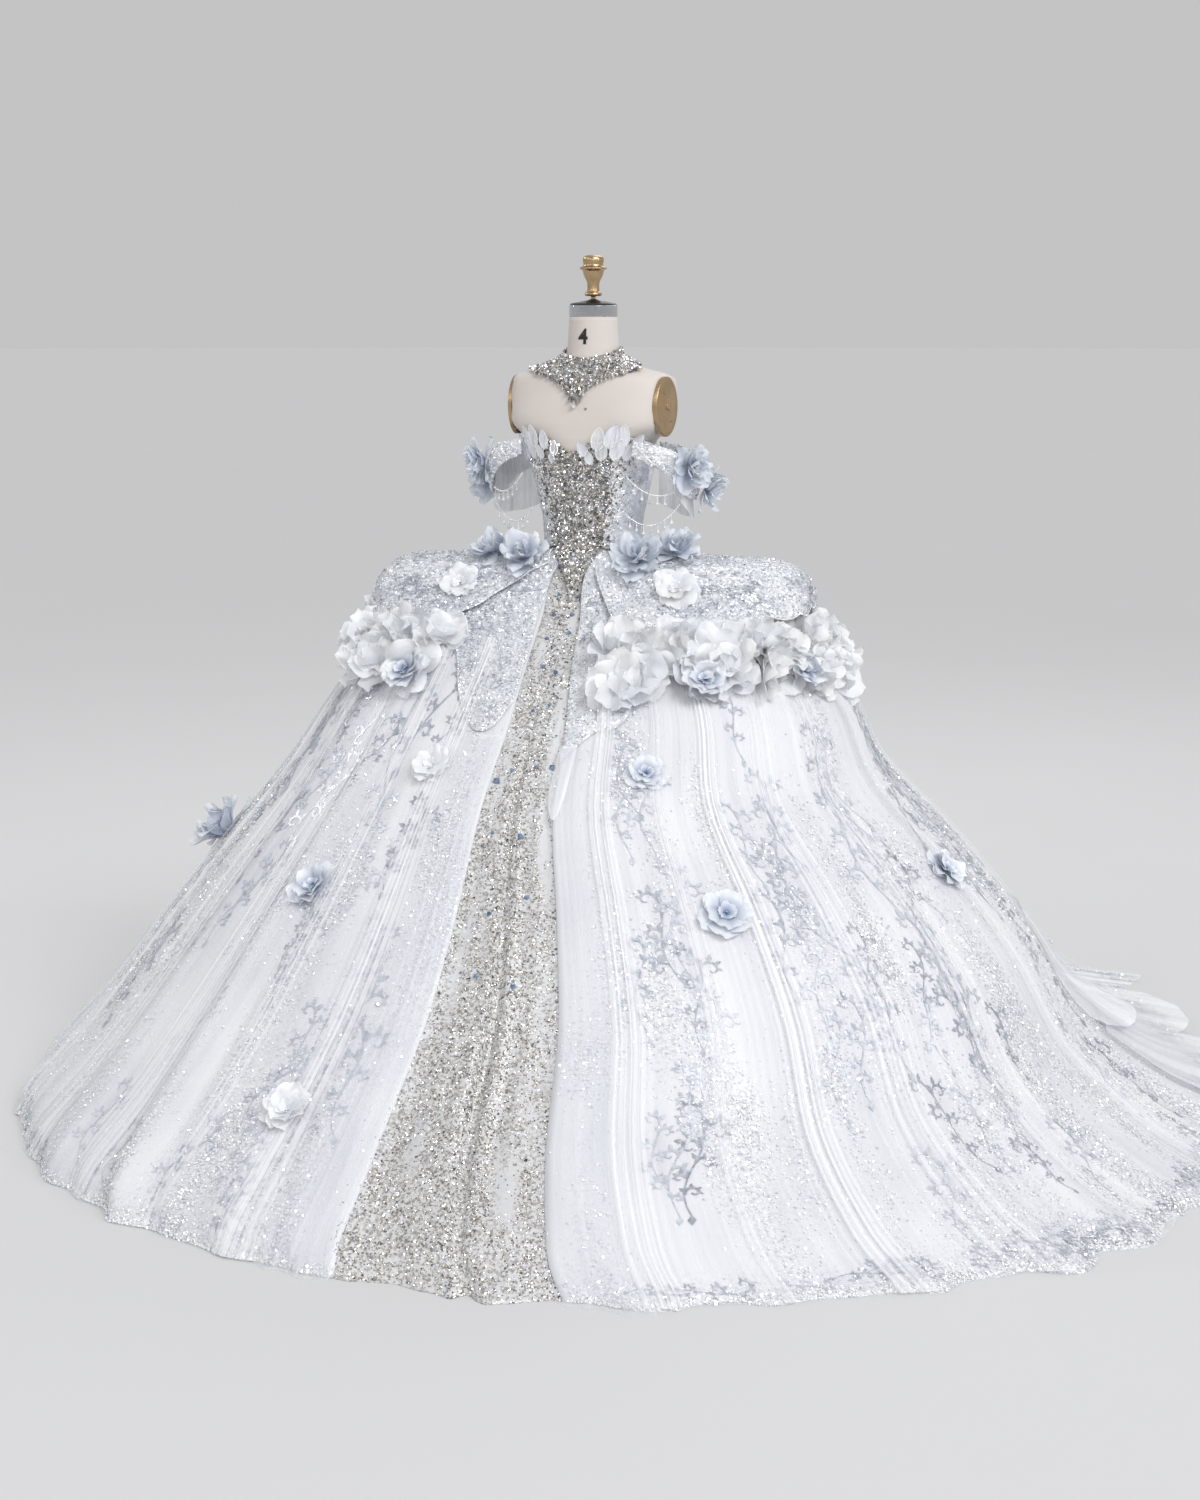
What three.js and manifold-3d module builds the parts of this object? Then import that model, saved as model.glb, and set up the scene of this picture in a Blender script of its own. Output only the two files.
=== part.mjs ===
// Silver-white couture wedding gown on a limbless dress form with a round stand.
// Frame: millimetres, +Z up, front towards -Y, origin on the floor under the stand pole.
// Every cloth piece is a wall worked out on one of two ring surfaces: the form or the skirt.

import * as THREE from 'three';
import * as BufferGeometryUtils from 'three/addons/utils/BufferGeometryUtils.js';
import Module from 'manifold-3d';

const wasm = await Module();
wasm.setup();

// ---------------------------------------------------------------- driving dimensions

const SEAM_GAP = 0.3;
const TULLE_WALL = 2;
const STIFF_WALL = 2.6;
const BODICE_WALL = 2.6;
const FORM_CLEARANCE = 2.4;

const STAND_RADIUS = 230;
const STAND_HEIGHT = 16;
const POLE_RADIUS = 17;
const HUB_RADIUS = 34;
const HUB_HEIGHT = 40;

const NECK_BAND_HEIGHT = 23;
const NECK_CAP_HEIGHT = 13;
const ARM_PLATE = { width: 100, height: 124, thickness: 8, turn: 5, z: 1436, x: 165 };

const WAIST_SEAM_Z = 1135.5;
const SIDE_SEAM_DEGREES = 92;
const FRONT_SEAM_DEGREES = 38;
const PLACKET_HALF_DEGREES = 5;
const BACK_SEAM_DEGREES = 146;

const FOLD_COUNT = 30;
const FOLD_DEPTH = 24;
const FOLD_START_ROW = 5;

// The form and bodice stand turned a little towards -X in the spread skirt, in degrees.
const FIGURE_TURN = -10;

// The dress form, a row for each ring from the neck down. square fills out the corners.
const FORM_RINGS = [
  { z: 1620, half: 50, front: 52, back: 50, square: 0 },
  { z: 1560, half: 54, front: 56, back: 54, square: 0 },
  { z: 1536, half: 63, front: 61, back: 60, square: 0 },
  { z: 1516, half: 106, front: 70, back: 72, square: 0.05 },
  { z: 1502, half: 158, front: 78, back: 80, square: 0.1 },
  { z: 1484, half: 182, front: 86, back: 86, square: 0.12 },
  { z: 1436, half: 181, front: 99, back: 90, square: 0.12 },
  { z: 1402, half: 174, front: 108, back: 92, square: 0.1 },
  { z: 1380, half: 156, front: 113, back: 93, square: 0.06 },
  { z: 1364, half: 139, front: 116, back: 93, square: 0.03 },
  { z: 1340, half: 135, front: 116, back: 92, square: 0.02 },
  { z: 1296, half: 126, front: 107, back: 88, square: 0 },
  { z: 1240, half: 113, front: 95, back: 82, square: 0 },
  { z: 1196, half: 104, front: 87, back: 79, square: 0 },
  { z: 1160, half: 103, front: 84, back: 79, square: 0 },
  { z: 1130, half: 105, front: 86, back: 82, square: 0 },
  { z: 1060, half: 126, front: 96, back: 100, square: 0 },
  { z: 1000, half: 148, front: 108, back: 114, square: 0 },
  { z: 900, half: 156, front: 112, back: 116, square: 0 },
];

// The skirt, a row for each ring from the waist seam to the hem. shift moves a ring to
// the side, lead moves its widest line forward, front and back are reaches from the pole.
const SKIRT_RINGS = [
  { z: 1135, shift: 0, lead: 0, half: 112, front: 93, back: 92, square: 0 },
  { z: 1112, shift: 0, lead: 0, half: 234, front: 101, back: 104, square: 0.04 },
  { z: 1086, shift: 0, lead: 0, half: 384, front: 112, back: 120, square: 0.12 },
  { z: 1050, shift: 0, lead: 0, half: 434, front: 132, back: 146, square: 0.18 },
  { z: 1000, shift: 0, lead: 0, half: 446, front: 186, back: 205, square: 0.16 },
  { z: 930, shift: -2, lead: 0, half: 466, front: 282, back: 305, square: 0.09 },
  { z: 820, shift: 0, lead: 10, half: 556, front: 425, back: 455, square: 0.03 },
  { z: 680, shift: -10, lead: 30, half: 640, front: 590, back: 625, square: 0 },
  { z: 520, shift: 5, lead: 50, half: 780, front: 762, back: 800, square: 0 },
  { z: 350, shift: 15, lead: 90, half: 915, front: 943, back: 960, square: 0 },
  { z: 180, shift: 15, lead: 150, half: 1030, front: 1136, back: 1110, square: 0 },
  { z: 60, shift: 55, lead: 220, half: 1165, front: 1290, back: 1300, square: 0 },
  { z: 0, shift: 120, lead: 260, half: 1250, front: 1356, back: 1600, square: 0 },
];
const HEM_ROW = SKIRT_RINGS.length - 1;

// Front edges of the overskirt: the ring angle in degrees at a skirt row.
const LEFT_EDGE = [
  { row: 0, angle: -20 },
  { row: 1, angle: -12 },
  { row: 3, angle: -9 },
  { row: 5, angle: -8.5 },
  { row: 7, angle: -7 },
  { row: 10, angle: -8 },
  { row: 12, angle: -12.5 },
];
const RIGHT_EDGE = [
  { row: 0, angle: 12 },
  { row: 1, angle: 6 },
  { row: 3, angle: 3 },
  { row: 5, angle: 3.5 },
  { row: 7, angle: 6 },
  { row: 10, angle: 9 },
  { row: 12, angle: 6.5 },
];

const COLOURS = {
  linen: [0xd9ccc6, 0.85, 0],
  chrome: [0xc9ccd0, 0.2, 1],
  blackMetal: [0x17171a, 0.35, 0.6],
  brass: [0xa67a4a, 0.35, 1],
  steel: [0x8a8c90, 0.4, 1],
  tulle: [0xd7d9e4, 0.7, 0],
  lace: [0xdcdde4, 0.6, 0.1],
  crystal: [0xbdb8b2, 0.35, 0.6],
  sequin: [0xc8cad2, 0.4, 0.4],
  organza: [0xdfe2ec, 0.6, 0],
  flower: [0xb9c2d8, 0.6, 0],
};

// ---------------------------------------------------------------- small helpers

const radians = THREE.MathUtils.degToRad;
const lerp = THREE.MathUtils.lerp;
const clamp = THREE.MathUtils.clamp;

/** Value of column key at place x in a table sorted by its first column. */
function lookUp(table, by, key, x) {
  const last = table.length - 1;
  if (x <= table[0][by]) return table[0][key];
  if (x >= table[last][by]) return table[last][key];
  const next = table.findIndex((row) => row[by] >= x);
  const low = table[next - 1];
  const high = table[next];
  return lerp(low[key], high[key], (x - low[by]) / (high[by] - low[by]));
}

/** Soft hump: 1 at 0, falling to 0 at -1 and 1. */
function hump(x) {
  if (Math.abs(x) >= 1) return 0;
  return Math.cos((x * Math.PI) / 2) ** 2;
}

/** A surface of stacked rings. angle is in degrees from the front towards +X. */
class RingSurface {
  constructor(rings, floorRow = Infinity) {
    this.rings = rings;
    this.floorRow = floorRow;
  }

  column(key, row) {
    const low = clamp(Math.floor(row), 0, this.rings.length - 2);
    const a = this.rings[low][key] ?? 0;
    const b = this.rings[low + 1][key] ?? 0;
    return lerp(a, b, row - low);
  }

  rowAt(z) {
    const next = this.rings.findIndex((ring, index) => index > 0 && ring.z <= z);
    const low = this.rings[next - 1];
    return next - 1 + (low.z - z) / (low.z - this.rings[next].z);
  }

  at(angle, row) {
    const sine = Math.sin(radians(angle));
    const cosine = Math.cos(radians(angle));
    const lead = this.column('lead', row);
    const reach = cosine > 0 ? this.column('front', row) - lead : this.column('back', row) + lead;
    const fill = 1 + this.column('square', row) * (2 * sine * cosine) ** 2;
    return new THREE.Vector3(
      this.column('shift', row) + this.column('half', row) * sine * fill,
      -lead - reach * cosine * fill,
      this.column('z', row),
    );
  }

  normal(angle, row) {
    const around = this.at(angle + 0.5, row).sub(this.at(angle - 0.5, row));
    const above = Math.max(row - 0.3, 0);
    const below = Math.min(row + 0.3, this.rings.length - 1);
    const down = this.at(angle, below).sub(this.at(angle, above));
    return down.cross(around).normalize();
  }

  /** The surface point moved out along its normal, or level with the floor at the hem. */
  out(angle, row, distance) {
    const point = this.at(angle, row);
    const normal = this.normal(angle, row);
    if (row >= this.floorRow) {
      const level = Math.hypot(normal.x, normal.y);
      return point.add(new THREE.Vector3(normal.x, normal.y, 0).multiplyScalar(distance / level ** 2));
    }
    return point.addScaledVector(normal, distance);
  }
}

const form = new RingSurface(FORM_RINGS);
const skirt = new RingSurface(SKIRT_RINGS, HEM_ROW);

/** Two-sided wall from a grid. place(i, j) gives [outer, inner] for row i, column j. */
function wall(rowCount, columnCount, place, closed = false) {
  const positions = [];
  const indices = [];
  const size = rowCount * columnCount;
  const pairs = [];
  for (let i = 0; i < rowCount; i += 1) {
    for (let j = 0; j < columnCount; j += 1) pairs.push(place(i, j));
  }
  for (const side of [0, 1]) {
    for (const pair of pairs) positions.push(pair[side].x, pair[side].y, pair[side].z);
  }
  const quad = (a, b, c, d) => indices.push(a, b, c, a, c, d);
  const id = (i, j, side) => side * size + i * columnCount + (j % columnCount);
  const spans = closed ? columnCount : columnCount - 1;
  for (let i = 0; i < rowCount - 1; i += 1) {
    for (let j = 0; j < spans; j += 1) {
      quad(id(i, j, 0), id(i + 1, j, 0), id(i + 1, j + 1, 0), id(i, j + 1, 0));
      quad(id(i, j, 1), id(i, j + 1, 1), id(i + 1, j + 1, 1), id(i + 1, j, 1));
    }
  }
  const last = rowCount - 1;
  for (let j = 0; j < spans; j += 1) {
    quad(id(0, j, 0), id(0, j + 1, 0), id(0, j + 1, 1), id(0, j, 1));
    quad(id(last, j, 1), id(last, j + 1, 1), id(last, j + 1, 0), id(last, j, 0));
  }
  if (!closed) {
    const end = columnCount - 1;
    for (let i = 0; i < last; i += 1) {
      quad(id(i, 0, 0), id(i, 0, 1), id(i + 1, 0, 1), id(i + 1, 0, 0));
      quad(id(i, end, 1), id(i, end, 0), id(i + 1, end, 0), id(i + 1, end, 1));
    }
  }
  const geometry = new THREE.BufferGeometry();
  geometry.setAttribute('position', new THREE.Float32BufferAttribute(positions, 3));
  geometry.setIndex(indices);
  return facingOut(geometry);
}

/** Turns the faces round when the closed mesh has a negative volume. */
function facingOut(geometry) {
  const position = geometry.getAttribute('position');
  const index = geometry.getIndex();
  const corner = [new THREE.Vector3(), new THREE.Vector3(), new THREE.Vector3()];
  let volume = 0;
  for (let face = 0; face < index.count; face += 3) {
    corner.forEach((point, k) => point.fromBufferAttribute(position, index.getX(face + k)));
    volume += corner[0].dot(corner[1].clone().cross(corner[2]));
  }
  if (volume < 0) {
    for (let face = 0; face < index.count; face += 3) {
      const second = index.getX(face + 1);
      index.setX(face + 1, index.getX(face + 2));
      index.setX(face + 2, second);
    }
  }
  return geometry;
}

function toSolid(geometry) {
  const bare = geometry.clone();
  bare.deleteAttribute('normal');
  bare.deleteAttribute('uv');
  const merged = BufferGeometryUtils.mergeVertices(bare, 1e-3);
  return new wasm.Manifold(new wasm.Mesh({
    numProp: 3,
    vertProperties: new Float32Array(merged.getAttribute('position').array),
    triVerts: new Uint32Array(merged.getIndex().array),
  }));
}

function fromSolid(solid) {
  const mesh = solid.getMesh();
  const geometry = new THREE.BufferGeometry();
  geometry.setAttribute('position', new THREE.Float32BufferAttribute(mesh.vertProperties, 3));
  geometry.setIndex(Array.from(mesh.triVerts));
  return geometry;
}

const gown = new THREE.Group();
const figure = new THREE.Group();
figure.rotation.z = radians(FIGURE_TURN);
gown.add(figure);

function add(name, geometry, finish, parent = gown) {
  const [color, roughness, metalness] = COLOURS[finish];
  const material = new THREE.MeshStandardMaterial({ color, roughness, metalness });
  const mesh = new THREE.Mesh(geometry, material);
  mesh.name = name;
  parent.add(mesh);
  return mesh;
}

// ---------------------------------------------------------------- dress form and stand

/** Solid torso: rings joined by faces, with a fan over the neck and one under the hips. */
function torsoGeometry() {
  const columns = 20;
  const positions = [];
  const indices = [];
  const rows = FORM_RINGS.length;
  for (let i = 0; i < rows; i += 1) {
    for (let j = 0; j < columns; j += 1) {
      const point = form.at((j * 360) / columns, i);
      positions.push(point.x, point.y, point.z);
    }
  }
  positions.push(0, 0, FORM_RINGS[0].z, 0, 0, FORM_RINGS[rows - 1].z);
  const top = rows * columns;
  for (let j = 0; j < columns; j += 1) {
    const next = (j + 1) % columns;
    for (let i = 0; i < rows - 1; i += 1) {
      const a = i * columns;
      const b = a + columns;
      indices.push(a + j, b + j, b + next, a + j, b + next, a + next);
    }
    indices.push(top, j, next);
    indices.push(top + 1, (rows - 1) * columns + next, (rows - 1) * columns + j);
  }
  const geometry = new THREE.BufferGeometry();
  geometry.setAttribute('position', new THREE.Float32BufferAttribute(positions, 3));
  geometry.setIndex(indices);
  return facingOut(geometry);
}

/** Box outside the plane on which an arm plate sits, for side +1 or -1. */
function armCut(side) {
  const cut = new THREE.BoxGeometry(120, 300, 180);
  cut.translate(ARM_PLATE.x + 60, 0, 0);
  cut.rotateZ(radians(-ARM_PLATE.turn));
  if (side < 0) cut.rotateZ(Math.PI + 2 * radians(ARM_PLATE.turn));
  cut.translate(0, 0, ARM_PLATE.z);
  return cut;
}

function armPlate(side) {
  const outline = new THREE.Shape();
  outline.absellipse(0, 0, ARM_PLATE.width / 2, ARM_PLATE.height / 2, 0, Math.PI * 2);
  const plate = new THREE.ExtrudeGeometry(outline, {
    depth: ARM_PLATE.thickness,
    bevelEnabled: false,
    curveSegments: 12,
  });
  plate.rotateX(Math.PI / 2);
  plate.rotateZ(Math.PI / 2);
  plate.translate(ARM_PLATE.x + SEAM_GAP, 0, 0);
  plate.rotateZ(radians(-ARM_PLATE.turn));
  if (side < 0) plate.rotateZ(Math.PI + 2 * radians(ARM_PLATE.turn));
  plate.translate(0, 0, ARM_PLATE.z);
  return plate;
}

function lathe(profile, segments) {
  const points = profile.map(([radius, z]) => new THREE.Vector2(radius, z));
  const geometry = new THREE.LatheGeometry(points, segments);
  geometry.rotateX(Math.PI / 2);
  return geometry;
}

function buildForm() {
  const torso = toSolid(torsoGeometry()).subtract(toSolid(armCut(1))).subtract(toSolid(armCut(-1)));
  add('form_torso', fromSolid(torso), 'linen', figure);
  add('arm_plate_right', armPlate(1), 'brass', figure);
  add('arm_plate_left', armPlate(-1), 'brass', figure);

  const neckTop = FORM_RINGS[0].z;
  const bandBottom = neckTop + SEAM_GAP;
  const bandTop = bandBottom + NECK_BAND_HEIGHT;
  const capTop = bandTop + SEAM_GAP + NECK_CAP_HEIGHT;
  const neckRadius = FORM_RINGS[0].half + 1;
  add('neck_band', lathe([
    [0, bandBottom],
    [neckRadius, bandBottom],
    [neckRadius, bandTop],
    [0, bandTop],
  ], 20), 'chrome');
  add('neck_cap', lathe([
    [0, bandTop + SEAM_GAP],
    [neckRadius - 1, bandTop + SEAM_GAP],
    [neckRadius - 4, bandTop + 4],
    [12, capTop - 3],
    [6, capTop],
    [0, capTop],
  ], 20), 'blackMetal');
  const foot = capTop + SEAM_GAP;
  add('neck_finial', lathe([
    [0, foot],
    [5, foot],
    [5, foot + 5],
    [18, foot + 6],
    [18, foot + 13],
    [14, foot + 16],
    [14, foot + 36],
    [17, foot + 41],
    [22, foot + 56],
    [23, foot + 60],
    [28, foot + 61],
    [28, foot + 65],
    [21, foot + 67],
    [22, foot + 82],
    [18, foot + 88],
    [0, foot + 90],
  ], 12), 'brass');

  const formFoot = FORM_RINGS[FORM_RINGS.length - 1].z;
  add('stand_base', lathe([
    [0, 0],
    [STAND_RADIUS, 0],
    [STAND_RADIUS, 6],
    [STAND_RADIUS - 12, STAND_HEIGHT],
    [HUB_RADIUS + 8, STAND_HEIGHT + 3],
    [HUB_RADIUS, HUB_HEIGHT],
    [0, HUB_HEIGHT],
  ], 24), 'steel');
  const pole = new THREE.CylinderGeometry(POLE_RADIUS, POLE_RADIUS, 1, 16);
  pole.rotateX(Math.PI / 2);
  const poleLength = formFoot - HUB_HEIGHT - 2 * SEAM_GAP;
  pole.scale(1, 1, poleLength);
  pole.translate(0, 0, HUB_HEIGHT + SEAM_GAP + poleLength / 2);
  add('stand_pole', pole, 'steel');
}

// ---------------------------------------------------------------- collar and bodice

// Lower edge of the beaded collar, by ring angle from the front.
const COLLAR_EDGE = [
  { angle: 0, z: 1446 },
  { angle: 10, z: 1474 },
  { angle: 22, z: 1494 },
  { angle: 45, z: 1504 },
  { angle: 90, z: 1516 },
  { angle: 180, z: 1520 },
];

function collar() {
  const columns = 30;
  const rows = 4;
  const top = form.rowAt(1556);
  return wall(rows, columns, (i, j) => {
    const angle = -180 + (j * 360) / columns;
    const scallop = 3 * Math.abs(Math.sin(radians(angle * 6)));
    const bottom = form.rowAt(lookUp(COLLAR_EDGE, 'angle', 'z', Math.abs(angle)) + scallop);
    const row = lerp(top, bottom, i / (rows - 1));
    return [form.out(angle, row, 6.4), form.out(angle, row, 3.8)];
  }, true);
}

// Top edge of the bodice: a sweetheart in front, nearly level behind.
const NECKLINE = [
  { angle: 0, z: 1343 },
  { angle: 9, z: 1354 },
  { angle: 22, z: 1372 },
  { angle: 40, z: 1377 },
  { angle: 62, z: 1370 },
  { angle: 92, z: 1358 },
  { angle: 130, z: 1340 },
  { angle: 180, z: 1334 },
];

function bodicePanel(from, to, columns) {
  const gapDegrees = (0.5 * SEAM_GAP * 180) / (Math.PI * 84);
  const rows = 7;
  const low = Math.min(from, to) + gapDegrees;
  const high = Math.max(from, to) - gapDegrees;
  return wall(rows, columns, (i, j) => {
    const angle = lerp(low, high, j / (columns - 1));
    const top = form.rowAt(lookUp(NECKLINE, 'angle', 'z', Math.abs(angle)));
    const row = lerp(top, form.rowAt(WAIST_SEAM_Z), i / (rows - 1));
    const inner = form.out(angle, row, FORM_CLEARANCE);
    const outer = form.out(angle, row, FORM_CLEARANCE + BODICE_WALL);
    if (i === rows - 1) {
      inner.z = WAIST_SEAM_Z;
      outer.z = WAIST_SEAM_Z;
    }
    return [outer, inner];
  });
}

// The pointed basque below the waist, a row for each cross-section on the skirt.
const BASQUE_MIDDLE = -15;
const BASQUE = [
  { row: 0.25, half: 46 },
  { row: 1, half: 36 },
  { row: 2, half: 22 },
  { row: 3, half: 7 },
  { row: 3.35, half: 1.5 },
];
const BASQUE_LIFT = 8;

/** Skirt ring angle of a distance sideways from the middle plane. */
function skirtAngle(x, row) {
  return THREE.MathUtils.radToDeg(Math.asin(x / skirt.column('half', row)));
}

/** A skirt point seen from the turned figure. */
function fromFigure(point) {
  return point.applyAxisAngle(new THREE.Vector3(0, 0, 1), radians(-FIGURE_TURN));
}

/** Front panel: bust rows on the form, then the basque point lying on the skirt. */
function bodiceFront() {
  const columns = 11;
  const bodiceRows = 7;
  const gapDegrees = (0.5 * SEAM_GAP * 180) / (Math.PI * 84);
  const waist = form.rowAt(WAIST_SEAM_Z + 10);
  return wall(bodiceRows + BASQUE.length, columns, (i, j) => {
    const across = (2 * j) / (columns - 1) - 1;
    if (i < bodiceRows) {
      const down = i / (bodiceRows - 1);
      const half = lerp(FRONT_SEAM_DEGREES, 28, down ** 2) - gapDegrees;
      const angle = across * half;
      const top = form.rowAt(lookUp(NECKLINE, 'angle', 'z', Math.abs(angle)));
      const row = lerp(top, waist, down);
      return [
        form.out(angle, row, FORM_CLEARANCE + BODICE_WALL),
        form.out(angle, row, FORM_CLEARANCE),
      ];
    }
    const section = BASQUE[i - bodiceRows];
    const angle = skirtAngle(BASQUE_MIDDLE + across * section.half, section.row);
    return [
      fromFigure(skirt.out(angle, section.row, BASQUE_LIFT)),
      fromFigure(skirt.out(angle, section.row, BASQUE_LIFT - BODICE_WALL)),
    ];
  });
}

/** Side panel whose front seam follows the tapering front panel. */
function bodiceSide(side) {
  const columns = 7;
  const rows = 7;
  const gapDegrees = (0.5 * SEAM_GAP * 180) / (Math.PI * 84);
  return wall(rows, columns, (i, j) => {
    const down = i / (rows - 1);
    const near = lerp(FRONT_SEAM_DEGREES, 28, down ** 2) + gapDegrees;
    const far = SIDE_SEAM_DEGREES - gapDegrees;
    const angle = side * lerp(near, far, j / (columns - 1));
    const top = form.rowAt(lookUp(NECKLINE, 'angle', 'z', Math.abs(angle)));
    const rise = lerp(10, 0, clamp((3 * j) / (columns - 1), 0, 1));
    const waist = form.rowAt(WAIST_SEAM_Z + rise);
    const row = lerp(top, waist, down);
    return [
      form.out(angle, row, FORM_CLEARANCE + BODICE_WALL),
      form.out(angle, row, FORM_CLEARANCE),
    ];
  });
}

function buildBodice() {
  add('beaded_collar', collar(), 'crystal', figure);
  add('bodice_front', bodiceFront(), 'crystal', figure);
  for (const [name, side] of [['left', -1], ['right', 1]]) {
    add(`bodice_side_${name}`, bodiceSide(side), 'lace', figure);
    const back = bodicePanel(side * SIDE_SEAM_DEGREES, side * (180 - PLACKET_HALF_DEGREES), 8);
    add(`bodice_back_${name}`, back, 'lace', figure);
    add(`neckline_leaves_${name}`, necklineLeaves(side), 'organza', figure);
  }
  const placket = bodicePanel(180 - PLACKET_HALF_DEGREES, 180 + PLACKET_HALF_DEGREES, 3);
  add('back_placket', placket, 'lace', figure);
}

// Pointed organza leaves that stand above the cups: ring angle, half width in degrees
// and height above the neckline edge.
const LEAVES = {
  left: [
    { angle: 14, half: 6, height: 14 },
    { angle: 25, half: 6.5, height: 26 },
    { angle: 37, half: 7, height: 32 },
    { angle: 50, half: 7, height: 24 },
    { angle: 61, half: 5.5, height: 12 },
  ],
  right: [
    { angle: 13, half: 7, height: 20 },
    { angle: 25, half: 7, height: 36 },
    { angle: 38, half: 7.5, height: 42 },
    { angle: 51, half: 7, height: 30 },
    { angle: 62, half: 5.5, height: 12 },
  ],
};

function necklineLeaves(side) {
  const leaves = LEAVES[side < 0 ? 'left' : 'right'];
  const steps = [-0.94, 0];
  const places = leaves.flatMap((leaf) => steps.map((step) => ({ leaf, step })));
  places.push({ leaf: leaves[leaves.length - 1], step: 0.94 });
  const rows = 4;
  return wall(rows, places.length, (i, j) => {
    const { leaf, step } = places[j];
    const angle = leaf.angle + step * leaf.half;
    const edge = lookUp(NECKLINE, 'angle', 'z', angle);
    const rise = leaf.height * (1 - Math.abs(step)) ** 0.6;
    const bottom = edge - 46 + 12 * Math.abs(step);
    const z = lerp(edge + rise, bottom, i / (rows - 1));
    const lean = 8.5 + 5 * (1 - i / (rows - 1)) * hump(step);
    const row = form.rowAt(z);
    return [form.out(side * angle, row, lean + TULLE_WALL), form.out(side * angle, row, lean)];
  });
}

// ---------------------------------------------------------------- off-shoulder sleeves

const SLEEVE = {
  centreX: 126,
  reachX: 104,
  frontY: 92,
  backY: 66,
  wall: 2.2,
};

// Sleeve edges along the loop from the front of the bodice (0) round the arm to the back (1).
const SLEEVE_EDGES = [
  { along: 0, top: 1368, bottom: 1336 },
  { along: 0.2, top: 1356, bottom: 1305 },
  { along: 0.42, top: 1330, bottom: 1250 },
  { along: 0.6, top: 1330, bottom: 1246 },
  { along: 0.8, top: 1350, bottom: 1290 },
  { along: 1, top: 1358, bottom: 1320 },
];
const DRAPE_EDGES = [
  { along: 0.3, top: 1322, bottom: 1262 },
  { along: 0.45, top: 1316, bottom: 1214 },
  { along: 0.65, top: 1318, bottom: 1204 },
  { along: 0.85, top: 1326, bottom: 1212 },
  { along: 1, top: 1332, bottom: 1232 },
];

/** Point of the sleeve loop; inset moves it towards the arm, flare outwards. */
function sleevePoint(side, along, z, inset) {
  const turn = Math.PI * along;
  const reachY = Math.cos(turn) > 0 ? SLEEVE.frontY : SLEEVE.backY;
  const direction = new THREE.Vector2(Math.sin(turn) / SLEEVE.reachX, -Math.cos(turn) / reachY).normalize();
  const x = SLEEVE.centreX + SLEEVE.reachX * Math.sin(turn) - inset * direction.x;
  const y = -reachY * Math.cos(turn) - inset * direction.y;
  return new THREE.Vector3(side * x, y, z);
}

function sleeveBand(side) {
  const columns = 15;
  const rows = 3;
  return wall(rows, columns, (i, j) => {
    const along = j / (columns - 1);
    const down = i / (rows - 1);
    const top = lookUp(SLEEVE_EDGES, 'along', 'top', along);
    const bottom = lookUp(SLEEVE_EDGES, 'along', 'bottom', along);
    const z = lerp(top, bottom, down);
    const belly = -9 * Math.sin(Math.PI * down) * Math.sin(Math.PI * along);
    return [sleevePoint(side, along, z, belly), sleevePoint(side, along, z, belly + SLEEVE.wall)];
  });
}

function sleeveDrape(side) {
  const columns = 16;
  const rows = 3;
  const lift = SLEEVE.wall + 4;
  return wall(rows, columns, (i, j) => {
    const along = lerp(DRAPE_EDGES[0].along, 1, j / (columns - 1));
    const down = i / (rows - 1);
    const top = lookUp(DRAPE_EDGES, 'along', 'top', along);
    const bottom = lookUp(DRAPE_EDGES, 'along', 'bottom', along);
    const z = lerp(top, bottom, down);
    const gather = 3 * down * Math.sin(j * 1.9) + 9 * down * Math.sin(Math.PI * along) * (1 - down);
    return [sleevePoint(side, along, z, lift + gather), sleevePoint(side, along, z, lift + gather + 1.6)];
  });
}

// Bead swags: places are [loop position or bodice, height], sag in mm, drops on the strand.
const SWAGS = [
  { name: 'upper', from: [-118, -106, 1296], to: [-205, -58, 1262], sag: 20, drops: [0.3, 0.5, 0.7] },
  { name: 'lower', from: [-104, -86, 1222], to: [-212, -42, 1236], sag: 36, drops: [0.2, 0.4, 0.6, 0.8] },
];

/** A strand of beads with hanging drops, all one solid. */
function swag(side, plan) {
  const mirror = ([x, y, z]) => new THREE.Vector3(-side * x, y, z);
  const start = mirror(plan.from);
  const end = mirror(plan.to);
  const strandPoint = (t) => {
    const point = start.clone().lerp(end, t);
    point.z -= plan.sag * 4 * t * (1 - t);
    return point;
  };
  const path = new THREE.CatmullRomCurve3([0, 0.25, 0.5, 0.75, 1].map(strandPoint));
  const section = new THREE.Shape();
  section.absarc(0, 0, 2, 0, Math.PI * 2);
  const strand = new THREE.ExtrudeGeometry(section, { steps: 7, curveSegments: 3, extrudePath: path });
  let solid = toSolid(strand);
  for (const t of plan.drops) {
    const point = strandPoint(t);
    const thread = new THREE.CylinderGeometry(1.1, 1.1, 14, 4);
    thread.rotateX(Math.PI / 2);
    thread.translate(point.x, point.y, point.z - 7);
    const drop = new THREE.OctahedronGeometry(5.5, 0);
    drop.scale(0.8, 0.8, 1.3);
    drop.translate(point.x, point.y, point.z - 17);
    solid = solid.add(toSolid(thread)).add(toSolid(drop));
  }
  return fromSolid(solid);
}

function buildSleeves() {
  for (const [name, side] of [['left', -1], ['right', 1]]) {
    add(`sleeve_band_${name}`, sleeveBand(side), 'crystal', figure);
    add(`sleeve_drape_${name}`, sleeveDrape(side), 'tulle', figure);
    for (const plan of SWAGS) {
      add(`bead_swag_${name}_${plan.name}`, swag(side, plan), 'crystal', figure);
    }
  }
}

// ---------------------------------------------------------------- skirt

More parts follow.
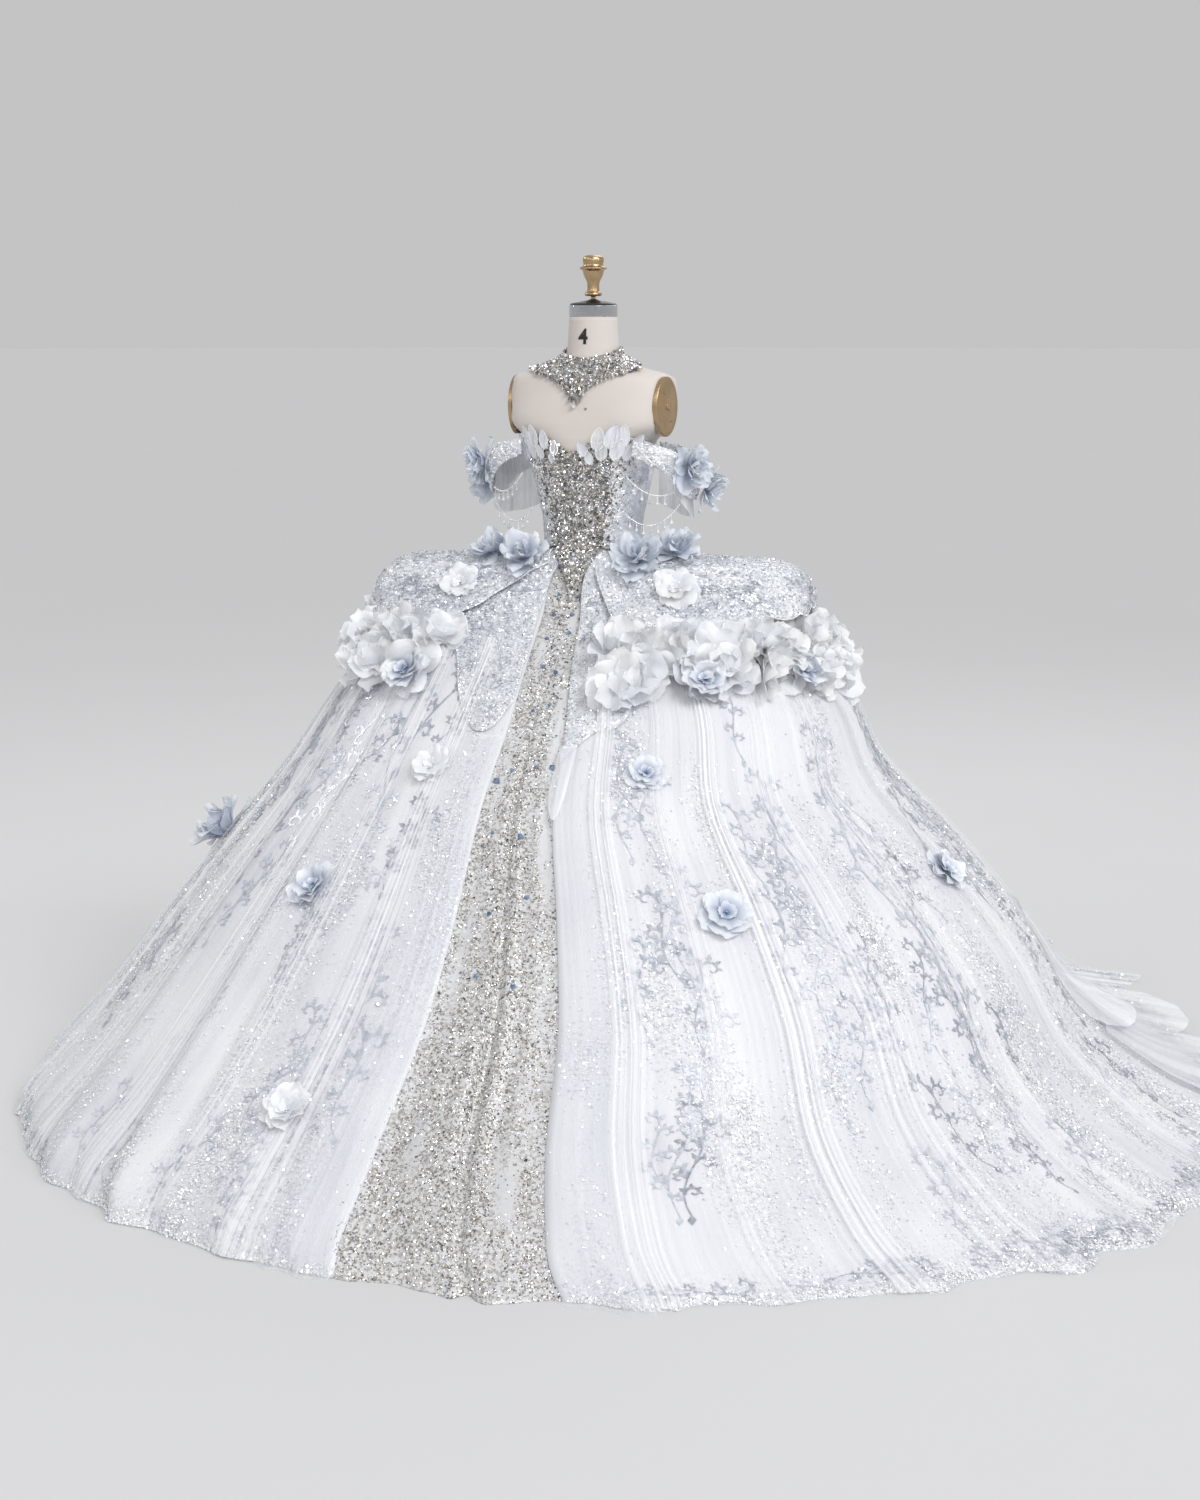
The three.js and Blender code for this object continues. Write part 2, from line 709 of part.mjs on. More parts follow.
/** Fold height at a ring angle, before it is scaled for the row. */
function foldShape(angle) {
  let height = 0;
  const spacing = 360 / FOLD_COUNT;
  for (let k = 0; k < FOLD_COUNT; k += 1) {
    const centre = -180 + k * spacing + 1.6 * Math.sin(2.1 * k);
    const width = 4.6 + 1.2 * Math.sin(1.3 * k + 1);
    const depth = 0.62 + 0.38 * Math.sin(1.7 * k + 0.4);
    const distance = ((angle - centre + 540) % 360) - 180;
    height += depth * hump(distance / width);
  }
  return height;
}

/** Height of the folds above the skirt surface: none on the hips, full at the hem. */
function foldLift(angle, row) {
  const grown = clamp((row - FOLD_START_ROW) / (HEM_ROW - FOLD_START_ROW), 0, 1);
  return FOLD_DEPTH * (0.08 + 0.92 * grown) * grown ** 0.5 * foldShape(angle);
}

function skirtOut(angle, row, lift) {
  return skirt.out(angle, row, foldLift(angle, row) + lift);
}

/** Ring angle of column j of an overskirt side; column 0 is its front edge. */
function overskirtAngle(side, row, j, columns) {
  const table = side < 0 ? LEFT_EDGE : RIGHT_EDGE;
  const edge = lookUp(table, 'row', 'angle', row);
  return lerp(edge, side * (BACK_SEAM_DEGREES - 0.02), j / (columns - 1));
}

const OVERSKIRT_COLUMNS = 39;

function overskirtSide(side) {
  return wall(SKIRT_RINGS.length, OVERSKIRT_COLUMNS, (row, j) => {
    const column = side < 0 ? OVERSKIRT_COLUMNS - 1 - j : j;
    const angle = overskirtAngle(side, row, column, OVERSKIRT_COLUMNS);
    return [skirtOut(angle, row, 0), skirtOut(angle, row, -TULLE_WALL)];
  });
}

function overskirtBack() {
  const columns = 19;
  return wall(SKIRT_RINGS.length, columns, (row, j) => {
    const reach = 180 - BACK_SEAM_DEGREES - 0.1 - 0.14 / (1 + row / 2);
    const angle = 180 + lerp(-reach, reach, j / (columns - 1));
    return [skirtOut(angle, row, 0), skirtOut(angle, row, -TULLE_WALL)];
  });
}

/** Beaded front panel, tucked under both overskirt edges by one of their columns. */
function frontPanel() {
  const inner = 7;
  const columns = inner + 4;
  return wall(SKIRT_RINGS.length, columns, (row, j) => {
    const left = overskirtAngle(-1, row, 0, OVERSKIRT_COLUMNS);
    const right = overskirtAngle(1, row, 0, OVERSKIRT_COLUMNS);
    let angle = lerp(left, right, (j - 1) / (columns - 3));
    if (j === 0) angle = overskirtAngle(-1, row, 1, OVERSKIRT_COLUMNS);
    if (j === columns - 1) angle = overskirtAngle(1, row, 1, OVERSKIRT_COLUMNS);
    const middle = clamp(1 - Math.abs((2 * j) / (columns - 1) - 1) * 1.3, 0, 1);
    const crease = -12 * hump((j - 5) / 2) * clamp((row - 4) / 6, 0, 1);
    const lift = -TULLE_WALL - SEAM_GAP + crease * middle;
    return [skirtOut(angle, row, lift), skirtOut(angle, row, lift - TULLE_WALL)];
  });
}

/** Loose tulle band lying along an overskirt's front edge, made from its columns. */
function tulleBand(side) {
  const columns = 3;
  const startRow = 7;
  return wall(SKIRT_RINGS.length - startRow, columns, (i, j) => {
    const row = i + startRow;
    const across = side < 0 ? columns - 1 - j : j;
    const angle = overskirtAngle(side, row, across, OVERSKIRT_COLUMNS);
    const pucker = [0, 7, 0][across] * (i / (HEM_ROW - startRow));
    const lift = SEAM_GAP + TULLE_WALL + pucker;
    return [skirtOut(angle, row, lift), skirtOut(angle, row, lift - TULLE_WALL)];
  });
}

function buildSkirt() {
  add('skirt_front_panel', frontPanel(), 'crystal');
  add('overskirt_left', overskirtSide(-1), 'tulle');
  add('overskirt_right', overskirtSide(1), 'tulle');
  add('overskirt_train', overskirtBack(), 'tulle');
  add('tulle_band_left', tulleBand(-1), 'tulle');
  add('tulle_band_right', tulleBand(1), 'tulle');
}

// ---------------------------------------------------------------- peplum and hip ruffles

// Each peplum piece: edge is its front edge and reach its far edge by skirt row, hem its
// lower edge row by ring angle, lift its height above the skirt at the waist and below.
const PEPLUM = {
  left_outer: {
    edge: [
      { row: 0, angle: 36 },
      { row: 1, angle: 17 },
      { row: 2, angle: 16 },
      { row: 4.2, angle: 27 },
    ],
    far: 172,
    hem: [
      { angle: 27, row: 3.7 },
      { angle: 36, row: 4.3 },
      { angle: 46, row: 4.2 },
      { angle: 90, row: 3.7 },
      { angle: 140, row: 4 },
      { angle: 172, row: 4.3 },
    ],
    scallops: 12,
    lift: [6.8, 15],
    columns: 33,
  },
  right_outer: {
    edge: [
      { row: 0, angle: 22 },
      { row: 1, angle: 8.5 },
      { row: 2.5, angle: 5.5 },
      { row: 3.6, angle: 8.5 },
      { row: 4.4, angle: 12.5 },
    ],
    far: 172,
    hem: [
      { angle: 12.5, row: 4.4 },
      { angle: 25, row: 4.2 },
      { angle: 40, row: 4.05 },
      { angle: 90, row: 3.6 },
      { angle: 140, row: 4 },
      { angle: 172, row: 4.3 },
    ],
    scallops: 12,
    lift: [6.8, 15],
    columns: 33,
  },
  left_inner: {
    edge: [{ row: 0, angle: 18 }, { row: 1, angle: 12 }, { row: 4.4, angle: 9.5 }, { row: 6.2, angle: 8 }],
    far: 29,
    hem: [
      { angle: 8, row: 5.7 },
      { angle: 10, row: 6 },
      { angle: 13, row: 6.13 },
      { angle: 17, row: 6 },
      { angle: 22, row: 5.6 },
      { angle: 29, row: 4.7 },
    ],
    scallops: 0,
    lift: [3.4, 4.4],
    columns: 10,
  },
  right_inner: {
    edge: [{ row: 0, angle: 12 }, { row: 1, angle: 5 }, { row: 4.8, angle: 3 }, { row: 6.5, angle: 5.3 }],
    far: 28,
    hem: [
      { angle: 5.3, row: 6.46 },
      { angle: 7.5, row: 6.3 },
      { angle: 11, row: 6.1 },
      { angle: 17, row: 5.92 },
      { angle: 20, row: 5.5 },
      { angle: 28, row: 4.8 },
    ],
    scallops: 0,
    lift: [3.4, 4.4],
    columns: 10,
  },
};

function peplum(side, plan) {
  const rows = plan.scallops ? 5 : 8;
  const topRow = 0.14;
  return wall(rows, plan.columns, (i, j) => {
    const across = j / (plan.columns - 1);
    const down = i / (rows - 1);
    const hemAngle = lerp(lookUp(plan.edge, 'row', 'angle', 9), plan.far, across);
    const scallop = 0.16 * Math.abs(Math.sin(Math.PI * plan.scallops * across));
    const bottom = lookUp(plan.hem, 'angle', 'row', hemAngle) + scallop;
    const row = lerp(topRow, bottom, down ** 0.85);
    const edge = lookUp(plan.edge, 'row', 'angle', row);
    const angle = side * lerp(edge, plan.far, across);
    const lift = lerp(plan.lift[0], plan.lift[1], clamp(row / 2, 0, 1));
    const stand = plan.scallops ? 6 * down ** 3 : 0;
    return [skirtOut(angle, row, lift + stand), skirtOut(angle, row, lift + stand - STIFF_WALL)];
  });
}

const RUFFLE = { rows: [4.02, 4.8, 5.6], lift: 10.5, waves: 16, stepsPerWave: 3, rise: 20, wave: 8 };

function hipRuffle(side, from, to) {
  const columns = RUFFLE.waves * RUFFLE.stepsPerWave + 1;
  return wall(RUFFLE.rows.length, columns, (i, j) => {
    const angle = side * lerp(from, to, j / (columns - 1));
    const row = RUFFLE.rows[i];
    const down = i / (RUFFLE.rows.length - 1);
    const swing = RUFFLE.wave * down * Math.sin((2 * Math.PI * j) / RUFFLE.stepsPerWave + 0.5);
    const lift = RUFFLE.lift + RUFFLE.rise * down ** 2 + swing;
    return [skirtOut(angle, row, lift), skirtOut(angle, row, lift - 2)];
  });
}

function buildPeplum() {
  for (const [name, side] of [['left', -1], ['right', 1]]) {
    add(`peplum_${name}_outer`, peplum(side, PEPLUM[`${name}_outer`]), 'sequin');
    add(`peplum_${name}_inner`, peplum(side, PEPLUM[`${name}_inner`]), 'sequin');
  }
  add('hip_ruffle_left', hipRuffle(-1, 30, 150), 'organza');
  add('hip_ruffle_right', hipRuffle(1, 10, 150), 'organza');
}

// ---------------------------------------------------------------- flowers

// Organza flowers on the skirt: ring angle, row, height of the foot above the skirt,
// radius of the open flower, number of petals.
const SKIRT_FLOWERS = [
  { name: 'waist_left_1', angle: -28, row: 1.1, lift: 13, radius: 50, petals: 6 },
  { name: 'waist_left_2', angle: -56, row: 1, lift: 13, radius: 46, petals: 6 },
  { name: 'waist_left_3', angle: -31, row: 2.9, lift: 18.5, radius: 48, petals: 6 },
  { name: 'waist_right_1', angle: 27, row: 1.1, lift: 13, radius: 50, petals: 6 },
  { name: 'waist_right_2', angle: 62, row: 0.8, lift: 12.5, radius: 50, petals: 7 },
  { name: 'waist_right_3', angle: 26, row: 2.9, lift: 18.5, radius: 50, petals: 6 },
  { name: 'hip_left_1', angle: -36, row: 5.5, lift: 34, radius: 50, petals: 6 },
  { name: 'hip_left_2', angle: -20, row: 6.6, lift: 2, radius: 46, petals: 5 },
  { name: 'hip_left_3', angle: -74, row: 5.3, lift: 32, radius: 48, petals: 6 },
  { name: 'hip_right_1', angle: 34, row: 5.5, lift: 34, radius: 48, petals: 6 },
  { name: 'hip_right_2', angle: 22, row: 6.6, lift: 2, radius: 42, petals: 5 },
  { name: 'hip_right_3', angle: 62, row: 5.4, lift: 33, radius: 46, petals: 6 },
  { name: 'hip_right_4', angle: 94, row: 5.2, lift: 31, radius: 46, petals: 6 },
  { name: 'skirt_left_1', angle: -84, row: 8.1, lift: 4, radius: 62, petals: 6 },
  { name: 'skirt_left_2', angle: -32, row: 8, lift: 4, radius: 52, petals: 5 },
  { name: 'skirt_left_3', angle: -19, row: 9.9, lift: 11, radius: 50, petals: 5 },
  { name: 'skirt_right_1', angle: 31, row: 8.05, lift: 4, radius: 54, petals: 6 },
  { name: 'skirt_right_2', angle: 78, row: 8.05, lift: 4, radius: 52, petals: 5 },
];

/** Open flower: a petalled wall that stands on its centre and cups outwards. */
function flower(radius, petals) {
  const perPetal = 2;
  const columns = petals * perPetal;
  const rings = [0.12, 0.55, 1];
  const positions = [];
  const indices = [];
  for (const thickness of [1.6, 0]) {
    for (const ring of rings) {
      for (let j = 0; j < columns; j += 1) {
        const turn = (j / columns) * Math.PI * 2;
        const lobe = Math.abs(Math.sin((petals * turn) / 2 + Math.PI / 6));
        const reach = radius * ring * (1 - 0.34 * ring * (1 - lobe));
        const ripple = 0.07 * radius * ring * Math.sin(petals * turn + 1.1 * Math.sin(2 * turn));
        const height = 1 + 0.42 * radius * ring ** 1.6 + ripple + thickness;
        positions.push(reach * Math.cos(turn), reach * Math.sin(turn), height);
      }
    }
  }
  positions.push(0, 0, 2.2, 0, 0, 0);
  const layer = rings.length * columns;
  const id = (side, ring, j) => side * layer + ring * columns + (j % columns);
  for (let j = 0; j < columns; j += 1) {
    indices.push(2 * layer, id(0, 0, j), id(0, 0, j + 1));
    indices.push(2 * layer + 1, id(1, 0, j + 1), id(1, 0, j));
    for (let ring = 0; ring < rings.length - 1; ring += 1) {
      const [a, b] = [id(0, ring, j), id(0, ring, j + 1)];
      const [c, d] = [id(0, ring + 1, j + 1), id(0, ring + 1, j)];
      indices.push(a, c, b, a, d, c);
      const [e, f] = [id(1, ring, j), id(1, ring, j + 1)];
      const [g, h] = [id(1, ring + 1, j + 1), id(1, ring + 1, j)];
      indices.push(e, f, g, e, g, h);
    }
    const rim = rings.length - 1;
    const [a, b] = [id(0, rim, j), id(0, rim, j + 1)];
    const [c, d] = [id(1, rim, j + 1), id(1, rim, j)];
    indices.push(a, c, b, a, d, c);
  }
  const geometry = new THREE.BufferGeometry();
  geometry.setAttribute('position', new THREE.Float32BufferAttribute(positions, 3));
  geometry.setIndex(indices);
  return facingOut(geometry);
}

/** Places a flower with its foot at a point and its axis along a direction. */
function plant(name, point, axis, radius, petals, parent = gown) {
  const mesh = add(`flower_${name}`, flower(radius, petals), 'flower', parent);
  mesh.position.copy(point);
  mesh.quaternion.setFromUnitVectors(new THREE.Vector3(0, 0, 1), axis.clone().normalize());
}

// Flowers on the outer side of the sleeves: loop position, height and radius.
const SLEEVE_FLOWERS = [
  { name: 'sleeve_upper', along: 0.36, z: 1316, radius: 36, petals: 6 },
  { name: 'sleeve_lower', along: 0.56, z: 1270, radius: 36, petals: 5 },
];

function buildFlowers() {
  for (const plan of SKIRT_FLOWERS) {
    const foot = skirtOut(plan.angle, plan.row, plan.lift);
    plant(plan.name, foot, skirt.normal(plan.angle, plan.row), plan.radius, plan.petals);
  }
  for (const [name, side] of [['left', -1], ['right', 1]]) {
    for (const plan of SLEEVE_FLOWERS) {
      const foot = sleevePoint(side, plan.along, plan.z, -13);
      const axis = sleevePoint(side, plan.along, plan.z, -60).sub(foot);
      plant(`${plan.name}_${name}`, foot, axis, plan.radius, plan.petals, figure);
    }
  }
}

buildForm();
buildBodice();
buildSleeves();
buildSkirt();
buildPeplum();
buildFlowers();

export default gown;
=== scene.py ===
"""Finished look of a beaded wedding gown on its dress form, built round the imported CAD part.

Metres, +Z up, front towards -Y, origin on the floor under the stand pole. Each cloth piece is a
patch: a map from u across and v down, both 0 to 1, onto the dress form or the spread skirt.
"""

import logging
import math
from dataclasses import dataclass, field
from enum import Enum
from typing import Callable, Optional, Sequence, Union

import bmesh
import bpy
import numpy as np
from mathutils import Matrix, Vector


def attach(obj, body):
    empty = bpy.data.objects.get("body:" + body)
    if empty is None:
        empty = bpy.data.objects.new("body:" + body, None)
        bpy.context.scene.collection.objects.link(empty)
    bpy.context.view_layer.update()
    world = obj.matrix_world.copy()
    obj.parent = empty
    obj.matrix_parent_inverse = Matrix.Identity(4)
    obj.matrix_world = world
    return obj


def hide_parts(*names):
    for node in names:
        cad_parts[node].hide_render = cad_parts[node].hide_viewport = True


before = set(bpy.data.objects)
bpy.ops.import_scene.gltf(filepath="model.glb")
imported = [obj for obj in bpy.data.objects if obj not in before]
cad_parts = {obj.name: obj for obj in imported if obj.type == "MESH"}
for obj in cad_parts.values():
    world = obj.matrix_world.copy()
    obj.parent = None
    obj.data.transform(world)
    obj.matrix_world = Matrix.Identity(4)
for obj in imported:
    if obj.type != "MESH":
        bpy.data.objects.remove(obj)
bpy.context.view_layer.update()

Array = np.ndarray
Pairs = Sequence[tuple[float, float]]
Colour = tuple[float, float, float]
Triple = tuple[float, float, float]
Bm = bmesh.types.BMesh
Material = bpy.types.Material
Mesh = bpy.types.Mesh
Piece = bpy.types.Object
Socket = bpy.types.NodeSocket
Rng = np.random.Generator
Curve = Callable[[Array], Array]
Field = Callable[[Array, Array], Array]
Relief = Callable[[Array, Array, Array, Array], Array]
Log = logging.getLogger("gown")

MM = 0.001
TINY = 0.01 * MM
ROOT = "root"
FIGURE_TURN = -10.0
HEM_ROW = 12
SEED = 20260
NEIGHBOURS = (-1, 0, 1, 2)
UP, DOWN = np.array([0, 0, 1.0]), np.array([0, 0, -1.0])

# Rows of z, shift, lead, half, front, back in mm and square, from the neck down.
FORM_RINGS = (
    (1620, 0, 0, 50, 52, 50, 0),
    (1560, 0, 0, 54, 56, 54, 0),
    (1536, 0, 0, 63, 61, 60, 0),
    (1516, 0, 0, 106, 70, 72, 0.05),
    (1502, 0, 0, 158, 78, 80, 0.1),
    (1484, 0, 0, 182, 86, 86, 0.12),
    (1436, 0, 0, 181, 99, 90, 0.12),
    (1402, 0, 0, 174, 108, 92, 0.1),
    (1380, 0, 0, 156, 113, 93, 0.06),
    (1364, 0, 0, 139, 116, 93, 0.03),
    (1340, 0, 0, 135, 116, 92, 0.02),
    (1296, 0, 0, 126, 107, 88, 0),
    (1240, 0, 0, 113, 95, 82, 0),
    (1196, 0, 0, 104, 87, 79, 0),
    (1160, 0, 0, 103, 84, 79, 0),
    (1130, 0, 0, 105, 86, 82, 0),
    (1060, 0, 0, 126, 96, 100, 0),
    (1000, 0, 0, 148, 108, 114, 0),
    (900, 0, 0, 156, 112, 116, 0),
)
SKIRT_RINGS = (
    (1135, 0, 0, 112, 93, 92, 0),
    (1112, 0, 0, 234, 101, 104, 0.04),
    (1086, 0, 0, 384, 112, 120, 0.12),
    (1050, 0, 0, 434, 132, 146, 0.18),
    (1000, 0, 0, 446, 186, 205, 0.16),
    (930, -2, 0, 466, 282, 305, 0.09),
    (820, 0, 10, 556, 425, 455, 0.03),
    (680, -10, 30, 640, 590, 625, 0),
    (520, 5, 50, 780, 762, 800, 0),
    (350, 15, 90, 915, 943, 960, 0),
    (180, 15, 150, 1030, 1136, 1110, 0),
    (60, 55, 220, 1165, 1290, 1300, 0),
    (0, 120, 260, 1250, 1356, 1600, 0),
)
# Front edges of the overskirt: skirt row, ring angle in degrees.
LEFT_EDGE = ((0, -20), (1, -12), (3, -9), (5, -8.5), (7, -7), (10, -8), (12, -12.5))
RIGHT_EDGE = ((0, 12), (1, 6), (3, 3), (5, 3.5), (7, 6), (10, 9), (12, 6.5))
BACK_SEAM = 145.98
# Top edge of the bodice: ring angle in degrees, height in mm.
NECKLINE = ((0, 1343), (9, 1354), (22, 1372), (40, 1377), (62, 1370), (92, 1358), (130, 1340), (180, 1334))

# Folds of the skirt: the large ones of the solids, and small sharp ones between them.
FOLD_COUNT = 30
FOLD_STEP = 12
FOLD_DEPTH = 24
FOLD_TOP_ROW = 5
SMALL_FOLD, SMALL_FOLD_SWING = 3.6, 1.3


class Side(Enum):
    """Which side of the gown, as seen from the front."""

    LEFT = -1
    RIGHT = 1

    @property
    def word(self) -> str:
        """Lower case name of the side."""
        return self.name.lower()

    def share(self, u: Array) -> Array:
        """Share from the front edge to the far edge at u, which runs from the viewer's left to right."""
        return u if self is Side.RIGHT else 1 - u

    def across(self, near: object, far: object) -> tuple:
        """Front edge and far edge in the order of u."""
        return (far, near) if self is Side.LEFT else (near, far)


# ---------------------------------------------------------------- curves and surfaces


def hump(x: Array) -> Array:
    """Soft hump: 1 at 0, falling to 0 at -1 and 1."""
    return np.where(np.abs(x) < 1, np.cos(np.clip(x, -1, 1) * np.pi / 2) ** 2, 0.0)


def ramp(x: Array, low: float, high: float) -> Array:
    """Straight rise from 0 at low to 1 at high, level past both."""
    return np.clip((x - low) / (high - low), 0, 1)


def level(value: float) -> Curve:
    """Curve that has the same value everywhere."""
    return lambda x: np.full_like(x, value)


def hermite(a: Array, slope_a: Array, b: Array, slope_b: Array, t: Array) -> Array:
    """Cubic from a to b with the given end slopes at t from 0 to 1."""
    rise = t * t * (3 - 2 * t)
    return a * (1 - rise) + b * rise + slope_a * t * (1 - t) ** 2 + slope_b * t * t * (t - 1)


def spline(knots: Sequence[Array], t: Array) -> Array:
    """Smooth curve between the middle two of four knots at t from 0 to 1."""
    before, a, b, after = knots
    return hermite(a, (b - before) / 2, b, (after - a) / 2, t)


def look_up(table: Pairs, x: Array) -> Array:
    """Smooth value at x in a table of place and value pairs.

    Args:
        table: Pairs sorted by place.
        x: Places to read.

    Returns:
        The values, held level past both ends.
    """
    places, values = np.array(table, float).T
    slopes = np.gradient(values, places)
    x = np.clip(x, places[0], places[-1])
    low = np.clip(np.searchsorted(places, x, side="right") - 1, 0, len(places) - 2)
    span = places[low + 1] - places[low]
    t = (x - places[low]) / span
    return hermite(values[low], slopes[low] * span, values[low + 1], slopes[low + 1] * span, t)


def through(points: Array, t: Array) -> Array:
    """Smooth curve through stacked points.

    Args:
        points: Array of (rows, n, width), one row for each knot.
        t: Places of n points, from 0 at the first knot to 1 at the last.

    Returns:
        Array of (n, width).
    """
    last = len(points) - 1
    place = np.clip(t, 0, 1) * last
    low = np.minimum(place.astype(int), last - 1)
    column = np.arange(points.shape[1])
    return spline([points[np.clip(low + k, 0, last), column] for k in NEIGHBOURS], (place - low)[:, None])


def turned(points: Array, degrees: float) -> Array:
    """Points turned about the stand pole."""
    cosine, sine = math.cos(math.radians(degrees)), math.sin(math.radians(degrees))
    return points @ np.array([[cosine, sine, 0], [-sine, cosine, 0], [0, 0, 1]])


def unit(vectors: Array) -> Array:
    """Vectors scaled to length 1."""
    return vectors / np.maximum(np.linalg.norm(vectors, axis=-1, keepdims=True), 1e-12)


def facing_pair(axis: Array) -> tuple[Array, Array]:
    """Two directions at right angles to a unit axis and to each other."""
    first = unit(np.cross(axis, [0.3, 0.2, 1.0]))
    return first, np.cross(axis, first)


class RingSurface:
    """Smooth surface of stacked rings; angle in degrees from the front towards +X."""

    def __init__(self, rings: Sequence[Sequence[float]], turn: float = 0.0) -> None:
        """Keeps the rings in metres.

        Args:
            rings: Rows of z, shift, lead, half, front, back in mm and square.
            turn: Degrees by which the finished surface is turned about the pole.
        """
        self.table = np.array(rings, float) * np.array([MM] * 6 + [1.0])
        self.last = len(rings) - 1
        self.turn = turn
        self.fine_rows = np.linspace(0, self.last, 60 * self.last + 1)
        self.fine_heights = self.measures(self.fine_rows)[:, 0]

    def measures(self, row: Array) -> Array:
        """Ring measures at fractional rows.

        Args:
            row: Rows in an array of any shape.

        Returns:
            The seven measures of each row, in metres and square.
        """
        row = np.clip(row, 0, self.last)
        low = np.minimum(row.astype(int), self.last - 1)
        around = [self.table[np.clip(low + k, 0, self.last)] for k in NEIGHBOURS]
        return spline(around, (row - low)[..., None])

    def row_at(self, z: Array) -> Array:
        """Row at a height in metres."""
        return np.interp(-np.asarray(z, float), -self.fine_heights, self.fine_rows)

    def at(self, angle: Array, row: Array) -> Array:
        """Surface points.

        Args:
            angle: Ring angles in degrees.
            row: Rows.

        Returns:
            Array of points.
        """
        angle, row = np.broadcast_arrays(np.asarray(angle, float), np.asarray(row, float))
        z, shift, lead, half, front, back, square = np.moveaxis(self.measures(row), -1, 0)
        sine, cosine = np.sin(np.radians(angle)), np.cos(np.radians(angle))
        reach = np.where(cosine > 0, front - lead, back + lead)
        fill = 1 + square * (2 * sine * cosine) ** 2
        points = np.stack([shift + half * sine * fill, -lead - reach * cosine * fill, z], -1)
        return turned(points, self.turn) if self.turn else points

    def normal(self, angle: Array, row: Array) -> Array:
        """Outward directions.

        Args:
            angle: Ring angles in degrees.
            row: Rows.

        Returns:
            Array of unit vectors.
        """
        around = self.at(angle + 0.5, row) - self.at(angle - 0.5, row)
        above, below = np.maximum(row - 0.3, 0), np.minimum(row + 0.3, self.last)
        return unit(np.cross(self.at(angle, below) - self.at(angle, above), around))

    def out(self, angle: Array, row: Array, distance: Union[Array, float]) -> Array:
        """Surface points moved outwards, and level with the floor at the skirt's lowest ring.

        Args:
            angle: Ring angles in degrees.
            row: Rows.
            distance: How far to move each point, in metres.

        Returns:
            Array of points.
        """
        angle, row = np.broadcast_arrays(np.asarray(angle, float), np.asarray(row, float))
        normal = self.normal(angle, row)
        flat = normal * np.array([1, 1, 0])
        flat = flat / np.sum(flat**2, -1, keepdims=True)
        share = np.clip(row - self.last + 1, 0, 1)[..., None] ** 2 if self.turn == 0 else 0.0
        return self.at(angle, row) + (normal * (1 - share) + flat * share) * np.asarray(distance)[..., None]


FORM = RingSurface(FORM_RINGS, FIGURE_TURN)
SKIRT = RingSurface(SKIRT_RINGS)


def ridges(phase: Array) -> Array:
    """Sharp-crested waves from -1 to 1."""
    return 1 - 2 * np.abs(np.sin(phase)) ** 0.7


def round_gap(angle: Array, centre: float) -> Array:
    """Degrees from a centre, the short way round."""
    return (angle - centre + 540) % 360 - 180


def fold_lift(angle: Array, row: Array) -> Array:
    """Height of the skirt's folds: none on the hips, full at the hem.

    Args:
        angle: Ring angles in degrees.
        row: Skirt rows.

    Returns:
        Heights in metres.
    """
    grown = ramp(row, FOLD_TOP_ROW, HEM_ROW)
    large = np.zeros(np.broadcast(angle, row).shape)
    for k in range(FOLD_COUNT):
        centre = -180 + FOLD_STEP * k + 1.6 * math.sin(2.1 * k)
        width = 4.6 + 1.2 * math.sin(1.3 * k + 1)
        depth = 0.62 + 0.38 * math.sin(1.7 * k + 0.4)
        large += depth * hump(round_gap(angle, centre) / width)
    wander = angle * 0.66 + 0.9 * np.sin(angle * 0.37) + 0.25 * np.sin(row * 0.7 + angle * 0.11)
    small = ridges(wander) * (0.6 + 0.4 * np.sin(angle * 0.23 + row * 0.35))
    small = small * (SMALL_FOLD - SMALL_FOLD_SWING * np.sin(np.radians(angle)))
    return MM * grown**0.5 * (FOLD_DEPTH * (0.08 + 0.92 * grown) * large + small)


def skirt_out(angle: Array, row: Array, lift: Union[Array, float]) -> Array:
    """Points on the folded skirt, lifted in metres."""
    return SKIRT.out(angle, row, fold_lift(angle, row) + lift)


def shimmer(u: Array, v: Array) -> Array:
    """Smooth uneven pattern from 0 to 1 for patchy beading.

    Args:
        u: Places across.
        v: Places down.

    Returns:
        Strength at each place.
    """
    pitch = 9.0
    first = np.sin(u * pitch + 2.3 * np.sin(v * pitch * 0.7)) * np.sin(v * pitch * 1.3 + 1.7)
    second = np.sin(u * pitch * 2.3 + 4 + np.sin(v * pitch)) * np.sin(v * pitch * 2.1 + u * 3)
    return np.clip(0.5 + 0.35 * first + 0.3 * second, 0, 1)


# ---------------------------------------------------------------- meshes


@dataclass(frozen=True)
class Template:
    """A small shape that is repeated, made by bmesh operators."""

    points: Array
    corners: Array
    counts: Array
    reach: Array
    smooth: bool = False

    @classmethod
    def of(cls, bm: Bm, smooth: bool = False) -> "Template":
        """Takes the shape from a bmesh and frees it.

        Args:
            bm: The shape; the length of the piece runs along +Y.
            smooth: Whether its faces shade smoothly.

        Returns:
            The template.
        """
        bm.verts.index_update()
        points = np.array([vert.co[:] for vert in bm.verts])
        corners = np.array([vert.index for face in bm.faces for vert in face.verts])
        counts = np.array([len(face.verts) for face in bm.faces])
        bm.free()
        long = points[:, 1]
        reach = (long - long.min()) / max(np.ptp(long), 1e-9)
        return cls(points, corners, counts, reach, smooth)


def add_values(mesh: Mesh, name: str, values: Array) -> None:
    """Keeps one number for each point under a name."""
    layer = mesh.attributes.new(name, "FLOAT", "POINT")
    layer.data.foreach_set("value", np.asarray(values, np.float32))


